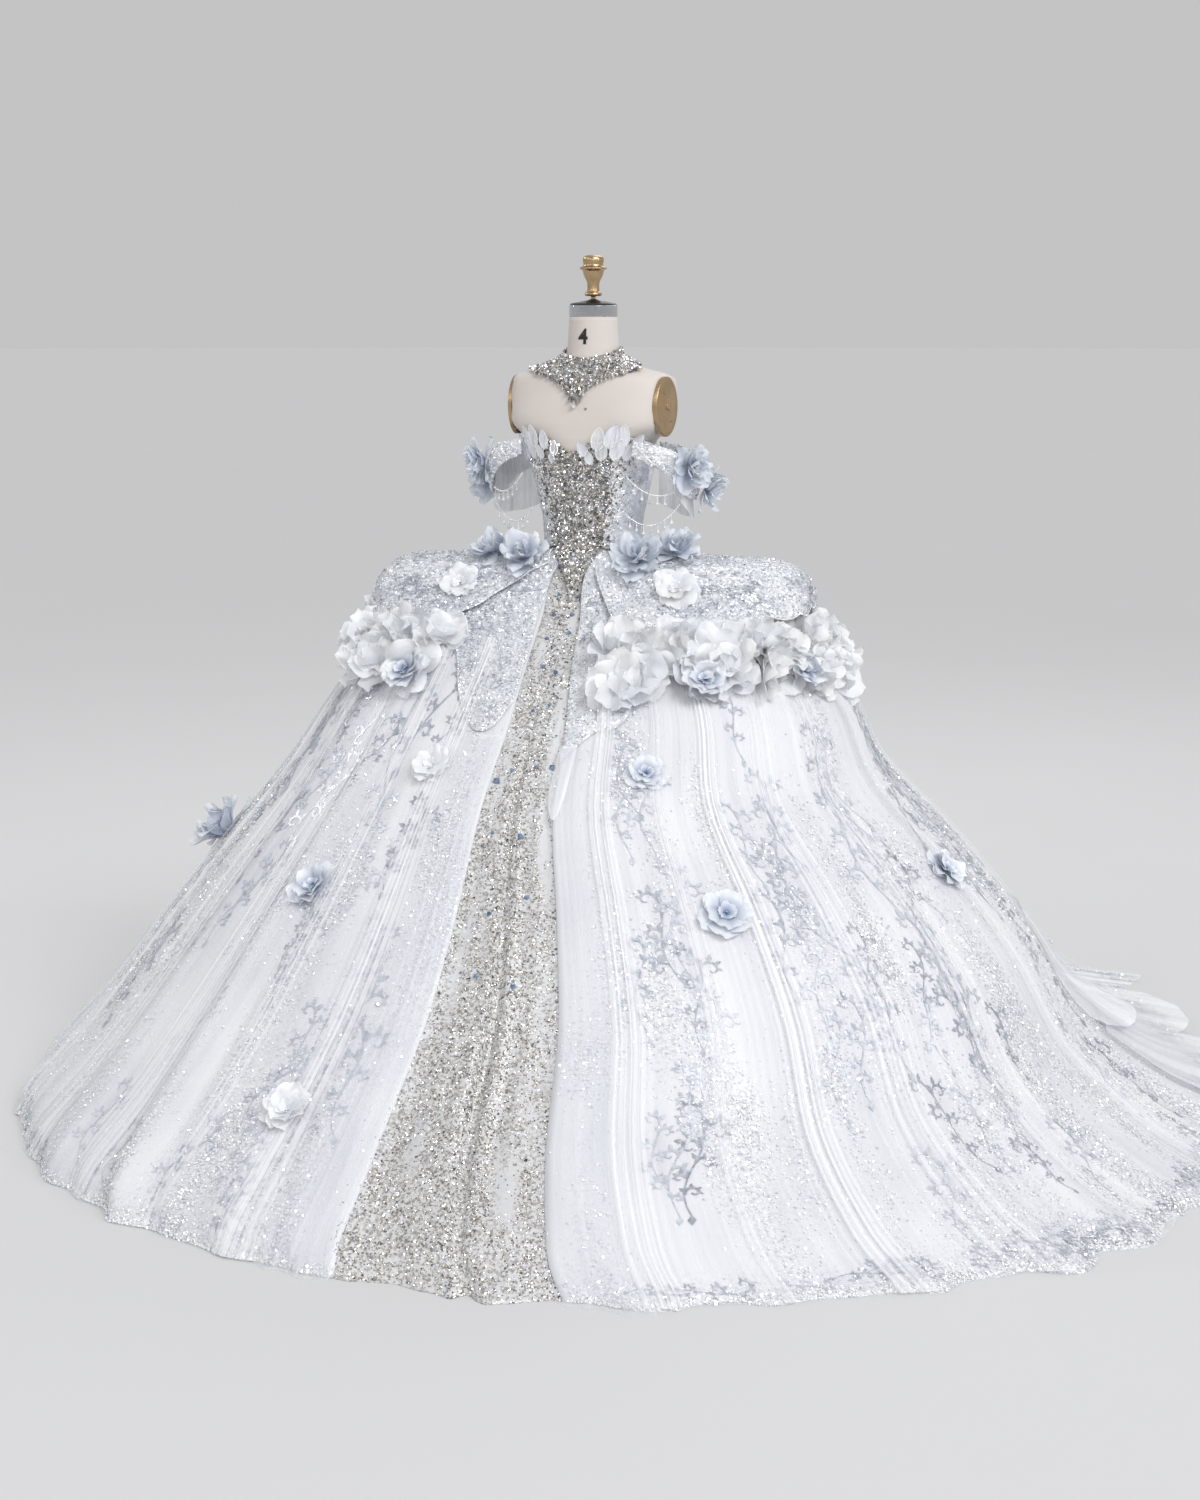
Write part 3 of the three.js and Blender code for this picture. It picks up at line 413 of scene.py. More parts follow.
def add_map(mesh: Mesh, flat: Array) -> None:
    """Gives a mesh the UV map "cloth".

    Args:
        mesh: The mesh.
        flat: Place of each point on the flat cloth in metres, (points, 2).
    """
    corner = np.zeros(len(mesh.loops), np.int32)
    mesh.loops.foreach_get("vertex_index", corner)
    mesh.uv_layers.new(name="cloth").data.foreach_set("uv", flat[corner].astype(np.float32).ravel())


def linked(name: str, data: bpy.types.ID) -> Piece:
    """Object for a mesh, curve, light or camera, put in the scene.

    Args:
        name: Name of the object.
        data: What it shows.

    Returns:
        The object.
    """
    piece = bpy.data.objects.new(name, data)
    bpy.context.scene.collection.objects.link(piece)
    return piece


def joined(name: str, template: Template, places: Array, tints: Array) -> Piece:
    """One object with every copy of a template.

    Args:
        name: Name of the piece.
        template: The repeated shape.
        places: Corner points of all copies, (copies, points, 3).
        tints: One number from 0 to 1 for each copy, kept as the attribute "tint".

    Returns:
        The linked object.
    """
    copies, size = places.shape[:2]
    mesh = bpy.data.meshes.new(name)
    mesh.vertices.add(copies * size)
    mesh.vertices.foreach_set("co", places.astype(np.float32).ravel())
    offset = np.arange(copies)[:, None]
    corners = template.corners + offset * size
    mesh.loops.add(corners.size)
    mesh.loops.foreach_set("vertex_index", corners.astype(np.int32).ravel())
    starts = np.concatenate([[0], np.cumsum(template.counts)[:-1]]) + offset * len(template.corners)
    mesh.polygons.add(starts.size)
    mesh.polygons.foreach_set("loop_start", starts.astype(np.int32).ravel())
    mesh.polygons.foreach_set("use_smooth", np.full(starts.size, template.smooth))
    add_values(mesh, "tint", np.repeat(tints, size))
    add_values(mesh, "reach", np.tile(template.reach, copies))
    mesh.update(calc_edges=True)
    return linked(name, mesh)


def dress(piece: Piece, material: Material, slot: str, *nodes: str) -> Piece:
    """Gives a piece its material and body, and hides the CAD nodes that it stands for.

    Args:
        piece: The piece.
        material: Its material.
        slot: The record's material slot; not used.
        *nodes: CAD nodes that it stands for.

    Returns:
        The piece.
    """
    piece.data.materials.clear()
    piece.data.materials.append(material)
    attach(piece, ROOT)
    if nodes:
        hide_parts(*nodes)
    Log.info("%s, stands for %s", piece.name, ", ".join(nodes) or "no solid")
    return piece


def shaped(bm: Bm, name: str, material: Material, slot: str, *nodes: str) -> Piece:
    """Turns a bmesh into a dressed piece.

    Args:
        bm: The shape, which is freed.
        name: Name of the piece.
        material: Its material.
        slot: The record's material slot.
        *nodes: CAD nodes that it stands for.

    Returns:
        The piece.
    """
    mesh = bpy.data.meshes.new(name)
    bm.to_mesh(mesh)
    bm.free()
    return dress(linked(name, mesh), material, slot, *nodes)


def sewn(
    name: str, template: Template, places: Array, rng: Rng, material: Material, slot: str, *nodes: str
) -> Piece:
    """Dressed piece of all copies of a template, each with a random tint."""
    return dress(joined(name, template, places, rng.random(len(places))), material, slot, *nodes)


def turned_copies(template: Template, points: Array, facing: Array, along: Array, sizes: Array) -> Array:
    """Corner points of rigid copies.

    Args:
        template: The repeated shape.
        points: Where each copy's origin goes.
        facing: Direction of each copy's +Z, or one for all.
        along: Rough direction of each copy's +Y, or one for all.
        sizes: Scale of each copy, or its scales along its own axes, (copies, 3).

    Returns:
        Array of (copies, points, 3).
    """
    z_axis = unit(np.broadcast_to(facing, points.shape))
    y_axis = unit(along - z_axis * np.sum(along * z_axis, -1, keepdims=True))
    axes = np.stack([np.cross(y_axis, z_axis), y_axis, z_axis], 1)
    scales = sizes.reshape(len(points), 1, -1)
    return points[:, None] + (template.points[None] * scales) @ axes


def bend(verts: Sequence[bmesh.types.BMVert], place: Callable[[Array], Array]) -> Array:
    """Moves points of a bmesh.

    Args:
        verts: The points.
        place: New places by old places.

    Returns:
        The old places.
    """
    flat = np.array([vert.co[:] for vert in verts])
    for vert, point in zip(verts, place(flat)):
        vert.co = point
    return flat


def new_grid(columns: int, rows: int) -> Bm:
    """Bmesh of a grid, from -0.5 to 0.5 both ways.

    Args:
        columns: Faces along X.
        rows: Faces along Y.

    Returns:
        The bmesh.
    """
    bm = bmesh.new()
    bmesh.ops.create_grid(bm, x_segments=columns, y_segments=rows, size=0.5)
    return bm


@dataclass(frozen=True)
class Patch:
    """A cloth piece as a map from u across and v down, both 0 to 1, to a point."""

    place: Field

    def slopes(self, u: Array, v: Array) -> tuple[Array, Array]:
        """How the point moves.

        Args:
            u: Places across.
            v: Places down.

        Returns:
            The move for one unit across and for one unit down.
        """
        step = 2e-3
        u, v = np.clip(u, 0, 1), np.clip(v, 0, 1)
        left, right = np.clip(u - step, 0, 1), np.clip(u + step, 0, 1)
        above, below = np.clip(v - step, 0, 1), np.clip(v + step, 0, 1)
        across = (self.place(right, v) - self.place(left, v)) / (right - left)[:, None]
        return across, (self.place(u, below) - self.place(u, above)) / (below - above)[:, None]

    def normals(self, u: Array, v: Array) -> Array:
        """Outward directions."""
        across, down = self.slopes(u, v)
        return unit(np.cross(down, across))

    def at(self, u: Array, v: Array, lift: float = 0.0) -> Array:
        """Points lifted off the cloth, never under the floor.

        Args:
            u: Places across.
            v: Places down.
            lift: Distance in metres.

        Returns:
            Array of points.
        """
        points = self.place(u, v)
        if lift:
            points = points + self.normals(u, v) * lift
        points[:, 2] = np.maximum(points[:, 2], 0.8 * MM)
        return points

    def sample(self, count: int, rng: Rng, density: Optional[Field] = None) -> tuple[Array, Array]:
        """Random places, even over the area or thicker where density is higher.

        Args:
            count: How many places.
            rng: The seeded generator.
            density: Weight as a function of u and v.

        Returns:
            u and v of the places.
        """
        cells = 96
        middle = (np.arange(cells) + 0.5) / cells
        u, v = (side.ravel() for side in np.meshgrid(middle, middle))
        across, down = self.slopes(u, v)
        weight = np.linalg.norm(np.cross(across, down), axis=1)
        if density is not None:
            weight = weight * density(u, v)
        chosen = rng.choice(len(u), count, p=weight / weight.sum())
        spread = (rng.random((2, count)) - 0.5) / cells
        return np.clip(u[chosen] + spread[0], 0, 1), np.clip(v[chosen] + spread[1], 0, 1)

    def walk(self, u: Array, v: Array, x: Array, y: Array) -> tuple[Array, Array]:
        """u and v of a place x metres across and y metres down from another."""
        across, down = self.slopes(u, v)
        return u + x / np.linalg.norm(across, axis=1), v + y / np.linalg.norm(down, axis=1)

    def cloth(
        self,
        name: str,
        columns: int,
        rows: int,
        wall: float = 0.0,
        values: Optional[dict[str, Field]] = None,
        loop: bool = False,
    ) -> Piece:
        """Builds the piece from a grid bent onto the patch.

        Args:
            name: Name of the piece.
            columns: Faces across.
            rows: Faces down.
            wall: Thickness of a two-sided wall in metres, or 0 for a single layer.
            values: Numbers kept for each point, as functions of u and v.
            loop: Whether the left and right edges are joined.

        Returns:
            The linked object.
        """
        bm = new_grid(columns, rows)
        flat = bend(bm.verts, lambda flat: self.at(flat[:, 0] + 0.5, 0.5 - flat[:, 1]))
        u, v = flat[:, 0] + 0.5, 0.5 - flat[:, 1]
        self.face_outwards(bm, u, v)
        mesh = bpy.data.meshes.new(name)
        bm.to_mesh(mesh)
        bm.free()
        for key, function in (values or {}).items():
            add_values(mesh, key, function(u, v))
        self.unwrap(mesh, u, v)
        mesh.shade_smooth()
        piece = linked(name, mesh)
        if loop:
            weld = piece.modifiers.new("joined edge", "WELD")
            weld.merge_threshold = 0.1 * MM
        if wall:
            solid = piece.modifiers.new("cloth thickness", "SOLIDIFY")
            solid.thickness = wall
            solid.offset = -1.0
            solid.use_even_offset = False
        return piece

    def face_outwards(self, bm: Bm, u: Array, v: Array) -> None:
        """Turns the faces over if they point inwards.

        Args:
            bm: The bent grid.
            u: Places of its points across.
            v: Places of its points down.
        """
        bm.normal_update()
        bm.verts.index_update()
        middle = bm.faces[:][len(bm.faces) // 2]
        corner = [middle.verts[0].index]
        if np.dot(self.normals(u[corner], v[corner])[0], middle.normal) < 0:
            bmesh.ops.reverse_faces(bm, faces=bm.faces)

    def unwrap(self, mesh: Mesh, u: Array, v: Array) -> None:
        """Gives the mesh a UV map in metres: u at mid height and v down the middle.

        Args:
            mesh: The mesh.
            u: Places of its points across.
            v: Places of its points down.
        """
        line, half = np.linspace(0, 1, 65), np.full(65, 0.5)
        down = np.linalg.norm(np.diff(self.place(half, line), axis=0), axis=1)
        across = np.linalg.norm(np.diff(self.place(line, half), axis=0), axis=1).sum()
        add_map(mesh, np.stack([u * across, np.interp(v, line, np.append(0, np.cumsum(down)))], 1))


def skirt_patch(
    low: Union[Pairs, float],
    high: Union[Pairs, float],
    top: float = 0.0,
    bottom: Union[Curve, float] = float(HEM_ROW),
    relief: Optional[Relief] = None,
) -> Patch:
    """Patch on the folded skirt between two ring angles and two rows.

    Args:
        low: Ring angle of the edge at u 0, or its table by row.
        high: Ring angle of the edge at u 1, or its table by row.
        top: Row of the upper edge.
        bottom: Row of the lower edge, or a function of u.
        relief: Lift in metres by angle, row, u and v.

    Returns:
        The patch.
    """

    def edge(side: Union[Pairs, float], row: Array) -> Array:
        """Ring angle of one edge at a row."""
        return np.full_like(row, side) if isinstance(side, (int, float)) else look_up(side, row)

    def place(u: Array, v: Array) -> Array:
        """Point at u and v.

        Args:
            u: Place across.
            v: Place down.

        Returns:
            Array of points.
        """
        row = top * (1 - v) + (bottom(u) if callable(bottom) else bottom) * v
        angle = edge(low, row) * (1 - u) + edge(high, row) * u
        return skirt_out(angle, row, relief(angle, row, u, v) if relief else 0.0)

    return Patch(place)


def form_patch(low: Curve, high: Curve, top: Curve, bottom: Curve, lift: float) -> Patch:
    """Patch round the dress form.

    Args:
        low: Ring angle at u 0 as a function of v.
        high: Ring angle at u 1 as a function of v.
        top: Height in metres by ring angle.
        bottom: Height in metres by ring angle.
        lift: Distance off the form in metres.

    Returns:
        The patch.
    """

    def place(u: Array, v: Array) -> Array:
        """Point at u and v.

        Args:
            u: Place across.
            v: Place down.

        Returns:
            Array of points.
        """
        angle = low(v) * (1 - u) + high(v) * u
        row = FORM.row_at(top(angle)) * (1 - v) + FORM.row_at(bottom(angle)) * v
        return FORM.out(angle, row, np.full_like(u, lift))

    return Patch(place)


# ---------------------------------------------------------------- finishes


class Recipe:
    """Lays out the nodes of one material round its Principled shader."""

    def __init__(self, name: str, roughness: float, metallic: float = 0.0, sheen: float = 0.0) -> None:
        """Starts the material.

        Args:
            name: Name of the material.
            roughness: Roughness of the shader where nothing varies it.
            metallic: Metallic share of the shader.
            sheen: Weight of the soft sheen of cloth.
        """
        self.material = bpy.data.materials.new(name)
        self.material.use_nodes = True
        self.tree = self.material.node_tree
        self.shader = self.tree.nodes["Principled BSDF"]
        for socket, value in (("Roughness", roughness), ("Metallic", metallic), ("Sheen Weight", sheen)):
            self.shader.inputs[socket].default_value = value

    def feed(self, socket: str, source: Socket) -> None:
        """Links a varying value to the shader."""
        self.tree.links.new(source, self.shader.inputs[socket])

    def done(self, colour: Socket, roughness: Optional[Socket], normal: Optional[Socket]) -> Material:
        """Links the main values to the shader.

        Args:
            colour: Base colour.
            roughness: Roughness, or None where it is constant.
            normal: Normal of the relief, or None for a plain surface.

        Returns:
            The finished material.
        """
        for socket, source in (("Base Color", colour), ("Roughness", roughness), ("Normal", normal)):
            if source is not None:
                self.feed(socket, source)
        return self.material

    def node(self, kind: str, inputs: Optional[dict] = None, **settings: object) -> bpy.types.Node:
        """Adds a node.

        Args:
            kind: Its type without the ShaderNode prefix.
            inputs: Numbers, colours or sockets for its inputs.
            **settings: Its own properties.

        Returns:
            The node.
        """
        made = self.tree.nodes.new("ShaderNode" + kind)
        for key, value in settings.items():
            setattr(made, key, value)
        for key, value in (inputs or {}).items():
            if isinstance(value, Socket):
                self.tree.links.new(value, made.inputs[key])
            else:
                made.inputs[key].default_value = value
        return made

    def stretched(self, source: Socket, scale: Triple) -> Socket:
        """Coordinates stretched along their axes."""
        return self.node("Mapping", {"Vector": source, "Scale": scale}).outputs[0]

    def object_space(self, scale: Triple = (1, 1, 1)) -> Socket:
        """Object coordinates, stretched."""
        return self.stretched(self.node("TexCoord").outputs["Object"], scale)

    def cloth_space(self, scale: Triple) -> Socket:
        """The cloth's own map in metres, stretched."""
        return self.stretched(self.node("UVMap", uv_map="cloth").outputs[0], scale)

    def value(self, name: str) -> Socket:
        """A number kept on the mesh."""
        return self.node("Attribute", attribute_name=name).outputs["Fac"]

    def noise(self, where: Socket, scale: float, detail: float) -> Socket:
        """Cloudy pattern from 0 to 1."""
        return self.node("TexNoise", {"Vector": where, "Scale": scale, "Detail": detail}).outputs[0]

    def span(self, source: Socket, low: float, high: float, first: float = 0.0, last: float = 1.0) -> Socket:
        """Value between low and high brought to first and last."""
        inputs = {"Value": source, "From Min": low, "From Max": high, "To Min": first, "To Max": last}
        return self.node("MapRange", inputs).outputs[0]

    def mix(self, share: Socket, first: Union[Socket, Colour], second: Union[Socket, Colour]) -> Socket:
        """Colour or direction between two others."""
        first, second = (end if isinstance(end, Socket) else (*end, 1.0) for end in (first, second))
        return self.node("Mix", {0: share, 6: first, 7: second}, data_type="RGBA").outputs[2]

    def times(self, first: Socket, second: Union[Socket, float]) -> Socket:
        """Product of two values, kept between 0 and 1."""
        return self.node("Math", {0: first, 1: second}, operation="MULTIPLY", use_clamp=True).outputs[0]

    def steps(self, source: Socket, colours: Sequence[Colour]) -> Socket:
        """Colour picked from a row of colours.

        Args:
            source: Value from 0 to 1.
            colours: The colours, each with an equal share.

        Returns:
            The colour.
        """
        made = self.node("ValToRGB", {"Fac": source})
        scale = made.color_ramp
        scale.interpolation = "CONSTANT"
        for index, colour in enumerate(colours):
            place = index / len(colours)
            stop = scale.elements[index] if index < 2 else scale.elements.new(place)
            stop.position = place
            stop.color = (*colour, 1.0)
        return made.outputs[0]

    def bump(self, height: Socket, strength: float, distance: float) -> Socket:
        """Normal of a fine relief; distance in metres."""
        return self.node("Bump", {"Height": height, "Strength": strength, "Distance": distance}).outputs[0]

    def cells(self, where: Socket, scale: float, output: str, **settings: object) -> Socket:
        """Pattern of cells: their colours, or the distance from their middles."""
        return self.node("TexVoronoi", {"Vector": where, "Scale": scale}, **settings).outputs[output]

    def facets(self, where: Socket, scale: float, tilt: float) -> Socket:
        """Normal of tiny facets, each tilted its own way.

        Args:
            where: Coordinates.
            scale: Facets in a metre.
            tilt: How far they lean.

        Returns:
            The normal.
        """
        inputs = {0: self.cells(where, scale, "Color"), 1: (0.5, 0.5, 0.5)}
        centred = self.node("VectorMath", inputs, operation="SUBTRACT").outputs[0]
        tilted = self.node("VectorMath", {0: centred, "Scale": tilt}, operation="SCALE").outputs[0]
        plain = self.node("NewGeometry").outputs["Normal"]
        mixed = self.node("VectorMath", {0: plain, 1: tilted}, operation="ADD").outputs[0]
        return self.node("VectorMath", {0: mixed}, operation="NORMALIZE").outputs[0]


@dataclass(frozen=True)
class OverskirtCloth:
    """White tulle over satin with silver sequin haze where "glitter" is high, and painted shade in streaks
    along the fine folds.
    """

    name: str = "overskirt cloth"
    white: Colour = (0.78, 0.785, 0.81)
    # shade is painted shade: a darker bluish copy of the white, laid into the fold streaks
    shade: Colour = (0.54, 0.555, 0.605)
    silver: Colour = (0.69, 0.71, 0.76)
    facet_scale: float = 230.0
    shine: float = 0.4

    def make(self) -> Material:
        """Builds the material.

        Returns:
            The material.
        """
        recipe = Recipe(self.name, 0.5, sheen=0.25)
        streaks = recipe.noise(recipe.cloth_space((42, 1.1, 1)), 1.0, 6)
        clouds = recipe.noise(recipe.object_space(), 3.2, 3)
        # Painted shade: the white turns to the shade colour where the fold streaks and clouds are high.
        ground = recipe.mix(recipe.span(recipe.times(streaks, clouds), 0.1, 0.5), self.white, self.shade)
        grain = recipe.noise(recipe.object_space(), 140.0, 2)
        dust = recipe.times(recipe.value("glitter"), recipe.span(grain, 0.44, 0.6))
        colour = recipe.mix(dust, ground, self.silver)
        recipe.feed("Metallic", recipe.times(dust, self.shine))
        roughness = recipe.span(dust, 0, 1, 0.55, 0.16)
        facets = recipe.facets(recipe.object_space(), self.facet_scale, 0.9)
        plain = recipe.bump(streaks, 0.35, 4 * MM)
        return recipe.done(colour, roughness, recipe.mix(dust, plain, facets))


@dataclass(frozen=True)
class BeadedGround:
    """Cloth covered with the finest beads, under the larger stones."""

    name: str
    light: Colour
    dark: Colour
    scale: float
    metallic: float

    def make(self) -> Material:
        """Builds the material.

        Returns:
            The material.
        """
        recipe = Recipe(self.name, 0.26, self.metallic)
        space = recipe.object_space()
        grey = recipe.node("RGBToBW", {"Color": recipe.cells(space, self.scale, "Color")}).outputs[0]
        patches = recipe.span(recipe.noise(space, 14.0, 4), 0.3, 0.7, 0.5, 1.6)
        colour = recipe.mix(recipe.times(grey, patches), self.dark, self.light)
        return recipe.done(colour, recipe.span(grey, 0, 1, 0.45, 0.14), recipe.facets(space, self.scale, 1.0))


@dataclass(frozen=True)
class Stones:
    """Loose stones, beads or sequins, each with a colour of its own."""

    name: str
    colours: tuple[Colour, ...]
    roughness: float = 0.09
    metallic: float = 0.9
    worn: Colour = (0.9, 0.9, 0.92)

    def make(self) -> Material:
        """Builds the material.

        Returns:
            The material.
        """
        recipe = Recipe(self.name, self.roughness, self.metallic)
        tone = recipe.steps(recipe.value("tint"), self.colours)
        wear = recipe.noise(recipe.object_space(), 90.0, 2)
        colour = recipe.mix(recipe.span(wear, 0.35, 0.75, 0, 0.35), tone, self.worn)
        roughness = recipe.span(wear, 0.3, 0.7, self.roughness * 0.6, self.roughness * 1.8)
        return recipe.done(colour, roughness, None)


@dataclass(frozen=True)
class SheerTulle:
    """See-through tulle, denser where "veil" is high."""

    name: str
    colour: Colour = (0.87, 0.88, 0.91)
    streak: float = 150.0
    least: float = 0.0
    most: float = 0.85

    def make(self) -> Material:
        """Builds the material.

        Returns:
            The material.
        """
        recipe = Recipe(self.name, 0.6, sheen=0.3)
        threads = recipe.noise(recipe.cloth_space((self.streak, 0.5, 1)), 1.0, 6)
        veil = recipe.times(recipe.value("veil"), recipe.span(threads, 0.38, 0.62, 0.25, 1.35))
        recipe.feed("Alpha", recipe.span(veil, 0, 1, self.least, self.most))
        pale = tuple(min(1.0, part * 1.08) for part in self.colour)
        recipe.material.surface_render_method = "BLENDED"
        return recipe.done(recipe.mix(threads, self.colour, pale), None, recipe.bump(threads, 0.5, 4 * MM))


@dataclass(frozen=True)
class PetalOrganza:
    """Crisp organza, one colour at the foot of a petal and others at its tip."""

    name: str
    foot: Colour
    tip: Colour
    deep: Colour
    spread: float = 0.7
    alpha: float = 0.76

    def make(self) -> Material:
        """Builds the material.

        Returns:
            The material.
        """
        recipe = Recipe(self.name, 0.5, sheen=0.35)
        recipe.shader.inputs["Alpha"].default_value = self.alpha
        veins = recipe.noise(recipe.object_space(), 70.0, 5)
        share = recipe.times(recipe.value("tint"), recipe.span(veins, 0.3, 0.7, 0.4, 0.9))
        outer = recipe.mix(share, self.tip, self.deep)
        colour = recipe.mix(recipe.span(recipe.value("reach"), 0.02, self.spread), self.foot, outer)
        return recipe.done(colour, recipe.span(veins, 0.3, 0.7, 0.42, 0.62), recipe.bump(veins, 0.25, 2 * MM))


@dataclass(frozen=True)
class LaceCloth:
    """White lace with a net ground and raised silver thread."""

    name: str = "bodice lace"
    light: Colour = (0.84, 0.85, 0.88)
    dark: Colour = (0.62, 0.64, 0.70)
    net: float = 420.0
    motif: float = 42.0

    def make(self) -> Material:
        """Builds the material.

        Returns:
            The material.
        """
        recipe = Recipe(self.name, 0.45, sheen=0.2)
        space = recipe.object_space()
        net = recipe.cells(space, self.net, "Distance")
        flowers = recipe.cells(space, self.motif, "Distance", feature="SMOOTH_F1")
        share = recipe.times(recipe.span(flowers, 0.25, 0.5), recipe.span(net, 0.1, 0.5, 0.3, 1))
        colour = recipe.mix(share, self.light, self.dark)
        recipe.feed("Metallic", recipe.span(flowers, 0.2, 0.6, 0.0, 0.25))
        return recipe.done(colour, None, recipe.bump(flowers, 0.6, 3 * MM))


@dataclass(frozen=True)
class WovenCover:
    """Matt cotton cover of the dress form."""

    name: str = "cotton cover"
    light: Colour = (0.66, 0.61, 0.575)
    dark: Colour = (0.57, 0.52, 0.49)
    threads: float = 420.0

    def make(self) -> Material:
        """Builds the material.

        Returns:
            The material.
        """
        recipe = Recipe(self.name, 0.85, sheen=0.2)
        space = recipe.object_space()
        soft = recipe.noise(space, 5.0, 3)
        wave = {"Vector": space, "Scale": self.threads, "Distortion": 1.2}
        warp, weft = (recipe.node("TexWave", wave, bands_direction=way).outputs["Fac"] for way in "XZ")
        weave = recipe.times(warp, weft)
        colour = recipe.mix(recipe.span(soft, 0.3, 0.7, 0, 0.8), self.light, self.dark)
        return recipe.done(colour, recipe.span(soft, 0.3, 0.7, 0.8, 0.92), recipe.bump(weave, 0.12, MM))


@dataclass(frozen=True)
class Metal:
    """Plain metal or enamel with fine wear."""

    name: str
    light: Colour
    dark: Colour
    roughness: float
    metallic: float = 1.0

    def make(self) -> Material:
        """Builds the material.

        Returns:
            The material.
        """
        recipe = Recipe(self.name, self.roughness, self.metallic)
        cloud = recipe.noise(recipe.object_space(), 28.0, 5)
        scratch = recipe.noise(recipe.object_space((40, 40, 900)), 1.0, 3)
        colour = recipe.mix(cloud, self.light, self.dark)
        roughness = recipe.span(scratch, 0.3, 0.7, self.roughness * 0.8, self.roughness * 1.35)
        return recipe.done(colour, roughness, recipe.bump(scratch, 0.05, MM))


@dataclass(frozen=True)
class StudioFloor:
    """Pale matt floor."""

    name: str = "pale floor"
    colour: Colour = (0.64, 0.64, 0.65)

    def make(self) -> Material:
        """Builds the material.

        Returns:
            The material.
        """
        recipe = Recipe(self.name, 0.8)
        cloud = recipe.noise(recipe.object_space(), 0.7, 3)
        darker = tuple(0.97 * part for part in self.colour)
        return recipe.done(recipe.mix(cloud, self.colour, darker), None, None)


CHAMPAGNE = (
    (0.10, 0.095, 0.09),
    (0.55, 0.50, 0.43),
    (0.95, 0.94, 0.92),
    (0.30, 0.28, 0.26),
    (0.80, 0.75, 0.66),
    (0.98, 0.98, 0.98),
    (0.62, 0.62, 0.64),
    (0.90, 0.86, 0.78),
    (0.20, 0.20, 0.21),
    (0.72, 0.78, 0.88),
)
SILVER = (
    (0.97, 0.97, 0.98),
    (0.90, 0.92, 0.96),
    (1.0, 1.0, 1.0),
    (0.62, 0.66, 0.74),
    (0.95, 0.96, 0.98),
    (1.0, 1.0, 1.0),
    (0.98, 0.97, 0.95),
)
VINE = ((0.38, 0.42, 0.50), (0.50, 0.54, 0.62), (0.34, 0.37, 0.44), (0.60, 0.64, 0.71))
PALE_VINE = ((0.62, 0.66, 0.74), (0.78, 0.81, 0.88), (0.50, 0.54, 0.62))
BLUE = ((0.06, 0.15, 0.30), (0.10, 0.22, 0.40))

WHITE_ORGANZA = PetalOrganza(
    "white organza", (0.84, 0.86, 0.90), (0.93, 0.94, 0.95), (0.78, 0.82, 0.89), alpha=0.72
)
DUSTY_ORGANZA = PetalOrganza(
    "dusty blue organza", (0.44, 0.51, 0.64), (0.72, 0.77, 0.85), (0.86, 0.88, 0.91), 0.9
)
EYED_ORGANZA = PetalOrganza(
    "blue eyed organza", (0.14, 0.22, 0.42), (0.88, 0.90, 0.93), (0.74, 0.79, 0.88), 0.72
)
# Its second colour is the painted shade of the fold streaks.
PANEL_CLOTH = OverskirtCloth(
    "beaded panel cloth", (0.70, 0.71, 0.73), (0.50, 0.50, 0.52), (0.56, 0.53, 0.49), 380.0, 0.85
)
BODICE_CLOTH = BeadedGround("beaded bodice cloth", (0.72, 0.70, 0.66), (0.16, 0.155, 0.15), 320.0, 0.7)
STIFF_LACE = BeadedGround("sequined stiff lace", (0.90, 0.91, 0.93), (0.58, 0.61, 0.67), 240.0, 0.2)


class Finishes:
    """Every material of the gown, made once."""

    def __init__(self) -> None:
        """Builds the materials."""
        self.overskirt = OverskirtCloth().make()
        self.panel = PANEL_CLOTH.make()
        self.bodice = BODICE_CLOTH.make()
        self.sequined = STIFF_LACE.make()
        self.lace = LaceCloth().make()
        self.champagne = Stones("champagne stones", CHAMPAGNE).make()
        self.silver = Stones("silver sequins", SILVER, 0.16, 0.35).make()
        self.mixed = Stones("grey and silver sequins", SILVER + PALE_VINE + VINE, 0.2, 0.45).make()
        self.vine = Stones("slate silver thread", VINE, 0.32, 0.55).make()
        self.pale_vine = Stones("pale silver thread", PALE_VINE, 0.3, 0.5).make()
        self.blue = Stones("blue stones", BLUE, 0.06, 0.3).make()
        self.veil = SheerTulle("sheer tulle layer").make()
        self.band = SheerTulle("loose tulle", (0.78, 0.80, 0.85), 110.0, 0.08, 0.6).make()
        self.flap = SheerTulle("flap tulle", (0.82, 0.84, 0.88), 14.0, 0.3, 0.8).make()
        self.drape = SheerTulle("sleeve organza", (0.72, 0.73, 0.75), 70.0, 0.4, 0.85).make()
        self.leaf = SheerTulle("leaf organza", (0.80, 0.82, 0.86), 50.0, 0.45, 0.85).make()
        self.white_petal = WHITE_ORGANZA.make()
        self.dusty_petal = DUSTY_ORGANZA.make()
        self.eyed_petal = EYED_ORGANZA.make()
        self.cover = WovenCover().make()
        self.chrome = Metal("polished chrome", (0.66, 0.67, 0.69), (0.54, 0.55, 0.57), 0.08).make()
        self.brass = Metal("antique brass", (0.60, 0.43, 0.25), (0.40, 0.28, 0.16), 0.32).make()
        self.black = Metal("black enamel", (0.012, 0.012, 0.014), (0.02, 0.02, 0.022), 0.22, 0.0).make()
        self.steel = Metal("grey stand paint", (0.30, 0.31, 0.33), (0.25, 0.26, 0.28), 0.45, 0.3).make()


# ---------------------------------------------------------------- small repeated shapes


